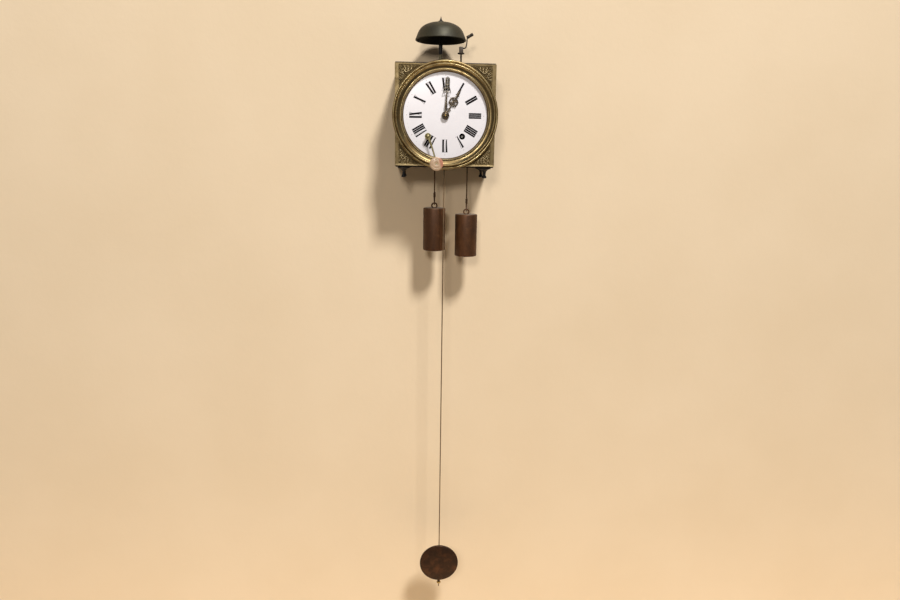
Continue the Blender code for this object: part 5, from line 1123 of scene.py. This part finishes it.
class CLOCK_OT_pendulum(bpy.types.Operator):
    """Long rod with its stirrup, the round bob and the rating nut"""

    bl_idname = "clock.pendulum"
    bl_label = "Pendulum"

    def execute(self, context):
        drive, finish = context.scene.clock_drive, context.scene.clock_finish
        radius = drive.rod_radius
        low, high, (_, y, _) = span_of("pendulum_rod")
        at = (0, y, 0)
        upper = [(radius * 0.7, 0.0163), (radius, 0.0168), (radius, high.z - 0.0004), (radius * 0.8, high.z)]
        thread = np.linspace(-1.3355, low.z + 0.0006, 70)
        ripple = radius - 0.00016 * (np.arange(len(thread)) % 2)
        lower = [(radius * 0.7, -0.0163), (radius, -0.0168)] + [(radius, z) for z in (-0.3, -0.7, -1.0, -1.334)]
        lower += [*zip(ripple, thread), (radius * 0.6, low.z)]
        stirrup = swept(upright(loop_of((0, 0), 0.013, 64, 17 / 13), y), 0.0012, sides=20, closed=True)
        rods = [turned(line, "Z", at, 24) for line in (upper, lower)]
        made("drawn_rod", [*rods, stirrup], metal("rod brass"), "pendulum", "pendulum_rod", "rod_brass", 50)
        z, wide = drive.bob_height, drive.bob_radius
        low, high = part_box("pendulum_bob")
        lens = turned(bob_lens(wide, (high.y - low.y) / 2), "Y", (0, y, z), 144)
        end = z - wide
        ferrule = [
            (0.0019, low.z + 0.0002), (0.0036, low.z), (0.0040, low.z + 0.0005), (0.0040, end + 0.004),
            (0.0019, end + 0.006),
        ]
        collar = mm((1.8, -3), (3.4, -3), (3.4, -0.5), (2.8, 0), (1.8, 0)) + (0, z + wide)
        sleeves = [turned(line, "Z", at, 32, closed=True) for line in (ferrule, collar)]
        bob_metal = set_metal(finish, "bob brass")[0].material
        made("round_bob", [lens, *sleeves], bob_metal, "bob", "pendulum_bob", "bob_brass", 40)
        low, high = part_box("rating_nut")
        profile = np.array([
            (0.0018, 0), (0.0026, 0), (0.0034, 0.30), (0.0052, 0.46), (0.0060, 0.52), (0.0060, 0.84), (0.0052, 0.92),
            (0.0036, 1), (0.0018, 1),
        ]) * (1, high.z - low.z) + (0, low.z)
        profile[1, 1] += 0.0003
        points, faces = turned(profile, "Z", sides=144, closed=True)
        knurl = 1 - 0.05 * (0.5 + 0.5 * np.cos(np.linspace(0, TAU, 144, endpoint=False) * 24))
        rim = np.hypot(points[:, 0], points[:, 1]) > 0.0055
        points[:, :2] *= np.where(rim, np.tile(knurl, len(profile)), 1.0)[:, None]
        made("knurled_nut", [(points + at, faces)], metal("wheel brass"), "nut", "rating_nut", "wheel_brass", 30)
        return {"FINISHED"}


def rope_tube(path, radius, drive, step=0.0007, sides=24):
    """A twisted cord along a path: at angle a and distance s the skin stands at
    radius * (0.80 + 0.20 * sqrt(crest)), where crest is |cos(strands / 2 * (a - s * full turn / lay))|. Gives the
    shell and each point's crest."""
    path = np.asarray(path, float)
    reach = np.concatenate([[0], np.cumsum(np.linalg.norm(np.diff(path, axis=0), axis=1))])
    along = np.linspace(0, reach[-1], max(6, int(reach[-1] / step)))
    line = np.stack([np.interp(along, reach, path[:, axis]) for axis in range(3)], axis=1)
    tangent = np.gradient(line, axis=0)
    tangent /= np.linalg.norm(tangent, axis=1, keepdims=True)
    lean = np.abs(tangent[:, 1:2])
    helper = np.where((lean > 0.85) & (lean.max() >= 0.95), [[1.0, 0, 0]], [[0, 1.0, 0]])
    across = np.cross(tangent, helper)
    across /= np.linalg.norm(across, axis=1, keepdims=True)
    deep = np.cross(tangent, across)
    angle = np.linspace(0, TAU, sides, endpoint=False)
    crest = np.abs(np.cos(drive.cord_strands / 2 * (angle[None] - TAU * along[:, None] / drive.lay_length)))
    skin = radius * (0.80 + 0.20 * np.sqrt(crest))
    grid = line[:, None] + across[:, None] * (skin * np.cos(angle))[..., None]
    grid = grid + deep[:, None] * (skin * np.sin(angle))[..., None]
    return shell(grid), np.concatenate([crest.reshape(-1), [0.5, 0.5]])


def knot_lines(x, y, eye):
    """The knot over a weight's ring: a coil of three turns, and the doubled cord that goes through the ring."""
    level = eye + 0.0220
    climb = np.linspace(0, 1, 61)
    coil = np.stack([
        x + 0.0019 * np.cos(3 * TAU * climb), y + 0.0019 * np.sin(3 * TAU * climb), level - 0.0055 + 0.0110 * climb,
    ], axis=1)
    leg = mm(
        (0.6, 1.2, 28.8), (0.9, 0.8, 22.0), (1.0, 1.2, 15.2), (0.7, 2.4, 6.2), (0.2, 3.4, 1.0), (0, 2.2, -3.4),
        (0, 0, -4.6),
    )
    left, right = (softened(leg * (way, way, 1) + (x, y, eye), 3) for way in (-1, 1))
    return coil, np.concatenate([left, right[::-1][1:]])


class CLOCK_OT_weights(bpy.types.Operator):
    """Two iron weights with rings, and the knotted cord ends on the rings"""

    bl_idname = "clock.weights"
    bl_label = "Weights"

    def execute(self, context):
        drive, finish = context.scene.clock_drive, context.scene.clock_finish
        wide, ring_radius = drive.weight_radius, 0.0068
        iron, rope = weight_iron(finish), twisted_cord(finish)
        for side in ("left", "right"):
            name = side + "_weight"
            low, high, (x, y, _) = span_of(name)
            ring_z = high.z - 0.0016 - ring_radius
            top = ring_z - 0.0060
            profile = [
                (wide - 0.0030, low.z), (wide - 0.0012, low.z + 0.0004), (wide - 0.0003, low.z + 0.0014),
                (wide, low.z + 0.0030), (wide - 0.0002, (low.z + top) / 2), (wide, top - 0.0030),
                (wide - 0.0004, top - 0.0013), (wide - 0.0013, top - 0.0004), (wide - 0.0030, top), (0.0070, top),
                (0.0060, top + 0.0004), (0.0050, top + 0.0012),
            ]
            body = turned(profile, "Z", (x, y, 0), 128)
            ring = swept(upright(loop_of((x, ring_z), ring_radius, 40), y), 0.0019, sides=18, closed=True)
            made(side + "_iron_weight", [body, ring], iron, name, name, "weight_iron", 35)
            lid = [
                (0.0058, top - 0.0006), (0.0058, top + 0.0002), (0.0072, top + 0.0003), (wide - 0.0036, top + 0.0003),
                (wide - 0.0031, top - 0.0001), (wide - 0.0031, top - 0.0006),
            ]
            disc = turned(lid, "Z", (x, y, 0), closed=True)
            made(name + "_top", [disc], worn_iron("worn weight iron", (0.20, 0.15, 0.105)), name, slot="weight_iron")
            coil, leg = knot_lines(x, y, ring_z + ring_radius)
            parts = [rope_tube(line, drive.cord_radius * size, drive) for line, size in ((coil, 0.92), (leg, 0.8))]
            crest = np.concatenate([part[1] for part in parts])
            made(side + "_knot", [part[0] for part in parts], rope, name, slot="cord", strand=crest)
        return {"FINISHED"}


class CLOCK_OT_cords(bpy.types.Operator):
    """Hanging cords and the turns wound on both drums"""

    bl_idname = "clock.cords"
    bl_label = "Cords"

    def execute(self, context):
        drive = context.scene.clock_drive
        rope, radius = twisted_cord(context.scene.clock_finish), drive.cord_radius
        for side, train in (("left", "going"), ("right", "strike")):
            x, y, _ = span_of(side + "_cord")[2]
            axis_x, _, axis_z = span_of(train + "_winding_arbor")[2]
            start, end = (x, y, axis_z + 0.002), (x, y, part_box(side + "_weight")[1].z + 0.0180)
            path = np.linspace(start, end, 40)
            part, crest = rope_tube(path, radius, drive)
            cord = made(side + "_hanging_cord", [part], rope, "case", side + "_cord", "cord", strand=crest)
            cord.parent = None
            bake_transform(cord)
            seat = abs(x - axis_x)
            turns = np.linspace(0, 6 * TAU, 361)
            angle = turns if x > axis_x else math.pi - turns
            depth = y - 0.0041 * turns / TAU
            coil = np.stack([axis_x + seat * np.cos(angle), depth, axis_z + seat * np.sin(angle)], axis=1)
            part, crest = rope_tube(coil, radius, drive, 0.0012, 15)
            barrel = train + "_barrel"
            wound = made(train + "_wound_cord", [part], rope, barrel, train + "_cord_turns", "cord", strand=crest)
        return {"FINISHED"}


class CLOCK_OT_works(bpy.types.Operator):
    """Finishes of the plates, doors, wheels, arbors and levers that keep their own shape"""

    bl_idname = "clock.works"
    bl_label = "Works"

    def execute(self, context):
        finish = context.scene.clock_finish
        finishes = {
            "iron": black_iron(finish, "case iron"),
            "wheel_brass": metal("wheel brass"),
            "steel": metal("bright steel"),
            "dark_bronze": set_metal(finish, "hand bronze")[0].material,
        }
        taken = {name for piece in bpy.data.objects for name in piece.get("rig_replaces", [])}
        for part in frame["record"]["subparts"]:
            if part["node"] not in taken:
                materials = frame["nodes"][part["node"]].data.materials
                materials.clear()
                materials.append(finishes[part["material_slot"]])
        return {"FINISHED"}


# Wall, floor, lamps and camera

WALL_Y, WALL_HALF, WALL_TOP = 0.0012, 3, 2.2
FLOOR_Z, FLOOR_FRONT = -1.62, -1.0
CAMERA_AT = (-0.062, -1.878, -0.108)
YAW, PITCH, ROLL = math.radians(2.70), math.radians(12.03), math.radians(0.91)

# Place, target, side, power and colour of each square lamp
LAMPS = {
    "key lamp": ((2.4, -5.8, 7.75), (0, -0.1, -0.1), 1.4, 1120, (1.0, 0.985, 0.96)),
    "fill lamp": ((-0.5, -3.3, 0.92), (0, -0.1, -0.4), 0.5, 34, (1.0, 0.95, 0.88)),
    "rear lamp": ((0.9, 2.6, 1.3), (0, 0, -0.3), 1.6, 26, (1.0, 0.97, 0.94)),
}


def sheet_of(name, corners, material):
    """A flat sheet between four corners."""
    mesh = bpy.data.meshes.new(name)
    mesh.from_pydata(corners, [], [(0, 1, 2, 3)])
    mesh.materials.append(material)
    sheet = bpy.data.objects.new(name, mesh)
    bpy.context.scene.collection.objects.link(sheet)


def soft_lamp(name, place, target, side, power, tint):
    """A square lamp that faces a point."""
    lamp = bpy.data.lights.new(name, "AREA")
    lamp.shape, lamp.size, lamp.size_y = "RECTANGLE", side, side
    lamp.energy, lamp.color = power, tint
    holder = bpy.data.objects.new(name, lamp)
    holder.location = place
    holder.rotation_euler = (Vector(target) - Vector(place)).to_track_quat("-Z", "Y").to_euler()
    bpy.context.scene.collection.objects.link(holder)


class CLOCK_OT_stage(bpy.types.Operator):
    """Camera, cream wall, pale floor and soft lamps"""

    bl_idname = "clock.stage"
    bl_label = "Stage"

    def execute(self, context):
        scene = context.scene
        ahead = Vector((math.sin(YAW) * math.cos(PITCH), math.cos(YAW) * math.cos(PITCH), -math.sin(PITCH)))
        right = ahead.cross(Vector((0, 0, 1))).normalized()
        up = right.cross(ahead)
        across = right * math.cos(ROLL) + up * math.sin(ROLL)
        above = up * math.cos(ROLL) - right * math.sin(ROLL)
        camera = bpy.data.cameras.new("camera")
        camera.lens, camera.sensor_width, camera.clip_end = 26.4, 36.0, 50.0
        holder = bpy.data.objects.new("camera", camera)
        turn = Matrix((across, above, -ahead)).transposed().to_4x4()
        holder.matrix_world = Matrix.Translation(CAMERA_AT) @ turn
        scene.collection.objects.link(holder)
        scene.camera = holder
        finish, half = scene.clock_finish, WALL_HALF
        foot, corner = (-half, WALL_Y, FLOOR_Z), (half, WALL_Y, FLOOR_Z)
        sheet_of("wall", [foot, corner, (half, WALL_Y, WALL_TOP), (-half, WALL_Y, WALL_TOP)], wall_plaster(finish))
        front = [(-half, FLOOR_FRONT, FLOOR_Z), (half, FLOOR_FRONT, FLOOR_Z)]
        sheet_of("floor", [foot, *front, corner], floor_plain(finish))
        for name, settings in LAMPS.items():
            soft_lamp(name, *settings)
        world = bpy.data.worlds.new("studio")
        world.use_nodes = True
        background = world.node_tree.nodes["Background"]
        background.inputs["Color"].default_value = (1.0, 0.88, 0.76, 1.0)
        background.inputs["Strength"].default_value = 0.10
        scene.world = world
        scene.view_settings.view_transform = "Standard"
        return {"FINISHED"}


class CLOCK_PT_panel(bpy.types.Panel):
    """Sidebar list of the clock's pieces and sizes"""

    bl_label = "Wall clock"
    bl_idname = "CLOCK_PT_panel"
    bl_space_type = "VIEW_3D"
    bl_region_type = "UI"
    bl_category = "Clock"

    def draw(self, context):
        layout = self.layout
        for operator in OPERATORS:
            layout.operator(operator.bl_idname)
        for title, settings in SETTINGS:
            box = layout.box()
            box.label(text=title)
            group = getattr(context.scene, settings)
            for name in group.bl_rna.properties.keys():
                if name not in ("rna_type", "name"):
                    box.prop(group, name)


OPERATORS = (
    CLOCK_OT_stage, CLOCK_OT_case, CLOCK_OT_front, CLOCK_OT_bezel, CLOCK_OT_dial, CLOCK_OT_hands, CLOCK_OT_key,
    CLOCK_OT_bell, CLOCK_OT_hammer, CLOCK_OT_pendulum, CLOCK_OT_weights, CLOCK_OT_cords, CLOCK_OT_works,
)
GROUPS = (ClockCaseSettings, ClockDialSettings, ClockDriveSettings, ClockFinishSettings)
SETTINGS = (
    ("Case", "clock_case"), ("Dial and hands", "clock_dial"), ("Bell, weights and pendulum", "clock_drive"),
    ("Finishes", "clock_finish"),
)


def register():
    for item in (*GROUPS, *OPERATORS, CLOCK_PT_panel):
        bpy.utils.register_class(item)
    for group, (_, name) in zip(GROUPS, SETTINGS):
        setattr(bpy.types.Scene, name, PointerProperty(type=group))


def unregister():
    for _, name in SETTINGS:
        delattr(bpy.types.Scene, name)
    for item in reversed((*GROUPS, *OPERATORS, CLOCK_PT_panel)):
        bpy.utils.unregister_class(item)


def main():
    register()
    bpy.ops.clock.stage()
    bpy.ops.clock.case()
    bpy.ops.clock.front()
    bpy.ops.clock.bezel()
    bpy.ops.clock.dial()
    bpy.ops.clock.hands()
    bpy.ops.clock.key()
    bpy.ops.clock.bell()
    bpy.ops.clock.hammer()
    bpy.ops.clock.pendulum()
    bpy.ops.clock.weights()
    bpy.ops.clock.cords()
    bpy.ops.clock.works()


if __name__ == "__main__":
    main()
